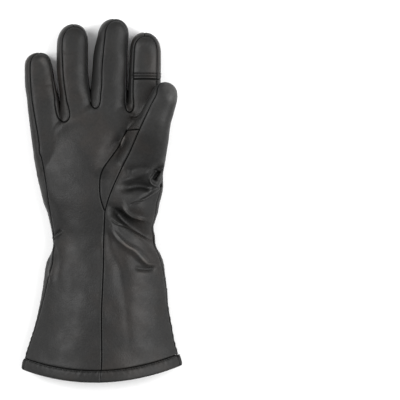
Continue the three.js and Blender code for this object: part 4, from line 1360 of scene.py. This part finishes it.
def leather_finish(name, tone, sheen_low, sheen_high, grain):
    """Leather: tone in clouds and grain, painted crest highlight, painted shade in hollows and
    seams, bumps.
    """
    finish = Finish(name)
    cloud = finish.noise(17, 4, 0.55)
    warm = finish.spread(finish.noise(24, 5, 0.62), 0.47, 0.66, 0.0, 0.85)
    colour = finish.mixed(warm, (tone, tone * 0.99, tone * 0.965, 1),
                          (tone * 1.32, tone * 1.14, tone * 1.02, 1))
    colour = finish.scaled(colour, finish.spread(cloud, 0.3, 0.7, 0.8, 1.2))
    colour = finish.scaled(colour, finish.spread(finish.noise(420, 4, 0.7), 0.3, 0.7, 0.82, 1.18))
    seam = finish.number("seam_distance")
    ridge = finish.number("standing")
    # Painted highlight: where a place stands out more than 0.35 mm, its colour is made up to four
    # times paler, in cloudy patches.
    painted_crest_highlight = finish.times(finish.spread(ridge, 0.35, 1.2, 0.0, 1.0),
                        finish.spread(cloud, 0.35, 0.6, 0.5, 1.0))
    colour = finish.scaled(colour, finish.spread(painted_crest_highlight, 0.0, 1.0, 1.0, 4.0))
    # Painted shade: where a place sinks below its surroundings, its colour is darkened down to 0.3
    # of the tone.
    colour = finish.scaled(colour, finish.spread(ridge, -1.0, 0.0, 0.3, 1.0))
    # Painted shade: within about a millimetre of a seam, the colour turns to the near-black seam
    # shade.
    colour = finish.mixed(finish.spread(seam, 0.25, 1.05, 1.0, 0.0), colour, grey(painted_seam_shade))
    finish.put(finish.surface.inputs["Base Color"], colour)
    rough = finish.spread(finish.noise(60, 4, 0.6), 0.3, 0.7, sheen_low, sheen_high)
    finish.put(finish.surface.inputs["Roughness"], rough)
    finish.surface.inputs["Specular IOR Level"].default_value = leather_shine
    cells = finish.add("TexVoronoi", {"Vector": finish.where, "Scale": 950.0}, feature="SMOOTH_F1")
    pebble = finish.bump(cells.outputs["Distance"], grain, 0.00018)
    pores = finish.bump(finish.noise(2600, 2, 0.6), 0.25, 0.00005, pebble)
    fine = finish.bump(finish.noise(420, 3, 0.6), 0.5, 0.00022, pores)
    soft = finish.bump(finish.noise(120, 4, 0.55), 0.45, 0.0006, fine)
    finish.put(finish.surface.inputs["Normal"], soft)
    return finish.material


def cloth_finish(name, tone, scale, depth):
    """Cloth or thread: a matte tone that its own pile makes uneven."""
    finish = Finish(name)
    pile = finish.noise(scale, 3, 0.6)
    colour = finish.scaled(finish.mixed(pile, grey(tone), grey(tone * 1.6)),
                           finish.spread(finish.noise(60, 3), 0.3, 0.7, 0.85, 1.15))
    finish.put(finish.surface.inputs["Base Color"], colour)
    for socket, value in (("Roughness", 0.92), ("Specular IOR Level", cloth_shine),
                          ("Sheen Weight", 0.1)):
        finish.surface.inputs[socket].default_value = value
    finish.put(finish.surface.inputs["Normal"], finish.bump(pile, 0.6, depth))
    return finish.material


leather = leather_finish("dark grey leather", 0.0105, 0.44, 0.56, 0.5)
touch_leather = leather_finish("smooth touch leather", 0.0125, 0.42, 0.5, 0.2)
lining = cloth_finish("dark fleece lining", 0.014, 900, 0.0004)
thread = cloth_finish("black thread", 0.002, 4000, 0.0001)
print("finishes:", [m.name for m in (leather, touch_leather, lining, thread)])

# %% Dress the panels and sew the rows
for name, piece in pieces.items():
    piece.data.materials.append(touch_leather if name == "index_touch_tip" else leather)
    piece.data.materials.append(lining)
    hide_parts(name)
    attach(piece, "root")

lines = line_object(stitch_rows)
sewing = lines.modifiers.new("stitches", "NODES")
sewing.node_group = stitch_nodes()
for item in sewing.node_group.interface.items_tree:
    if item.in_out == "INPUT" and item.name == "Thread":
        sewing[item.identifier] = thread
made = bpy.data.meshes.new_from_object(lines.evaluated_get(bpy.context.evaluated_depsgraph_get()))
bpy.data.objects.remove(lines)
made.materials.clear()
made.materials.append(thread)
made.polygons.foreach_set("material_index", np.zeros(len(made.polygons), np.int32))
stitches = linked("top_stitches", made)
made.polygons.foreach_set("use_smooth", np.ones(len(made.polygons), bool))
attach(stitches, "root")
print("stitches:", len(made.polygons), "faces, material", [m.name for m in made.materials])

# %% [markdown]
# ## Floor, light and camera
# The photograph looks straight down on a glove that lies on white, between two wide soft lights,
# one at each side, so that the crests of the folds shine and the hollows go dark. A long lens
# keeps the fingers from leaning outwards.

# %% Floor
def plane(name, half):
    mesh = bpy.data.meshes.new(name)
    mesh.from_pydata([(-half, -half, 0), (half, -half, 0), (half, half, 0), (-half, half, 0)],
                     [], [(0, 1, 2, 3)])
    return linked(name, mesh)


paper = Finish("white paper")
paper.put(paper.surface.inputs["Base Color"],
          paper.mixed(paper.noise(3, 2), grey(0.93), grey(0.95)))
paper.surface.inputs["Roughness"].default_value = 0.9
floor = plane("floor", 4.0)
floor.data.materials.append(paper.material)

# %% Light
world = bpy.data.worlds.new("studio")
bpy.context.scene.world = world
world.use_nodes = True
for socket, value in (("Color", grey(1)), ("Strength", 0.55)):
    world.node_tree.nodes["Background"].inputs[socket].default_value = value
light_aim = Vector((0.05, 0, 0))


def soft_light(name, at, size, power):
    """A square area light, turned to the glove."""
    light = bpy.data.lights.new(name, "AREA")
    light.shape, light.size, light.energy = "SQUARE", size, power
    lamp = linked(name, light)
    lamp.location = at
    lamp.rotation_euler = (light_aim - lamp.location).to_track_quat("-Z", "Y").to_euler()


soft_light("key", (-1.2, 0.4, 1.35), 1.1, 32)
soft_light("fill", (1.25, 0.1, 1.3), 1.2, 35)

# %% Camera
frame_width = 0.378       # what the picture is wide, on the glove's level
frame_middle = Vector((0.0929, 0.0, 0.018))
lens_height = 2.6
sensor = 36
camera = linked("camera", bpy.data.cameras.new("camera"))
camera.location = frame_middle + Vector((0, 0, lens_height))
camera.data.sensor_width = sensor
camera.data.lens = sensor * lens_height / frame_width
bpy.context.scene.camera = camera
bpy.context.scene.view_settings.view_transform = "Standard"
print("lens, mm:", round(camera.data.lens))
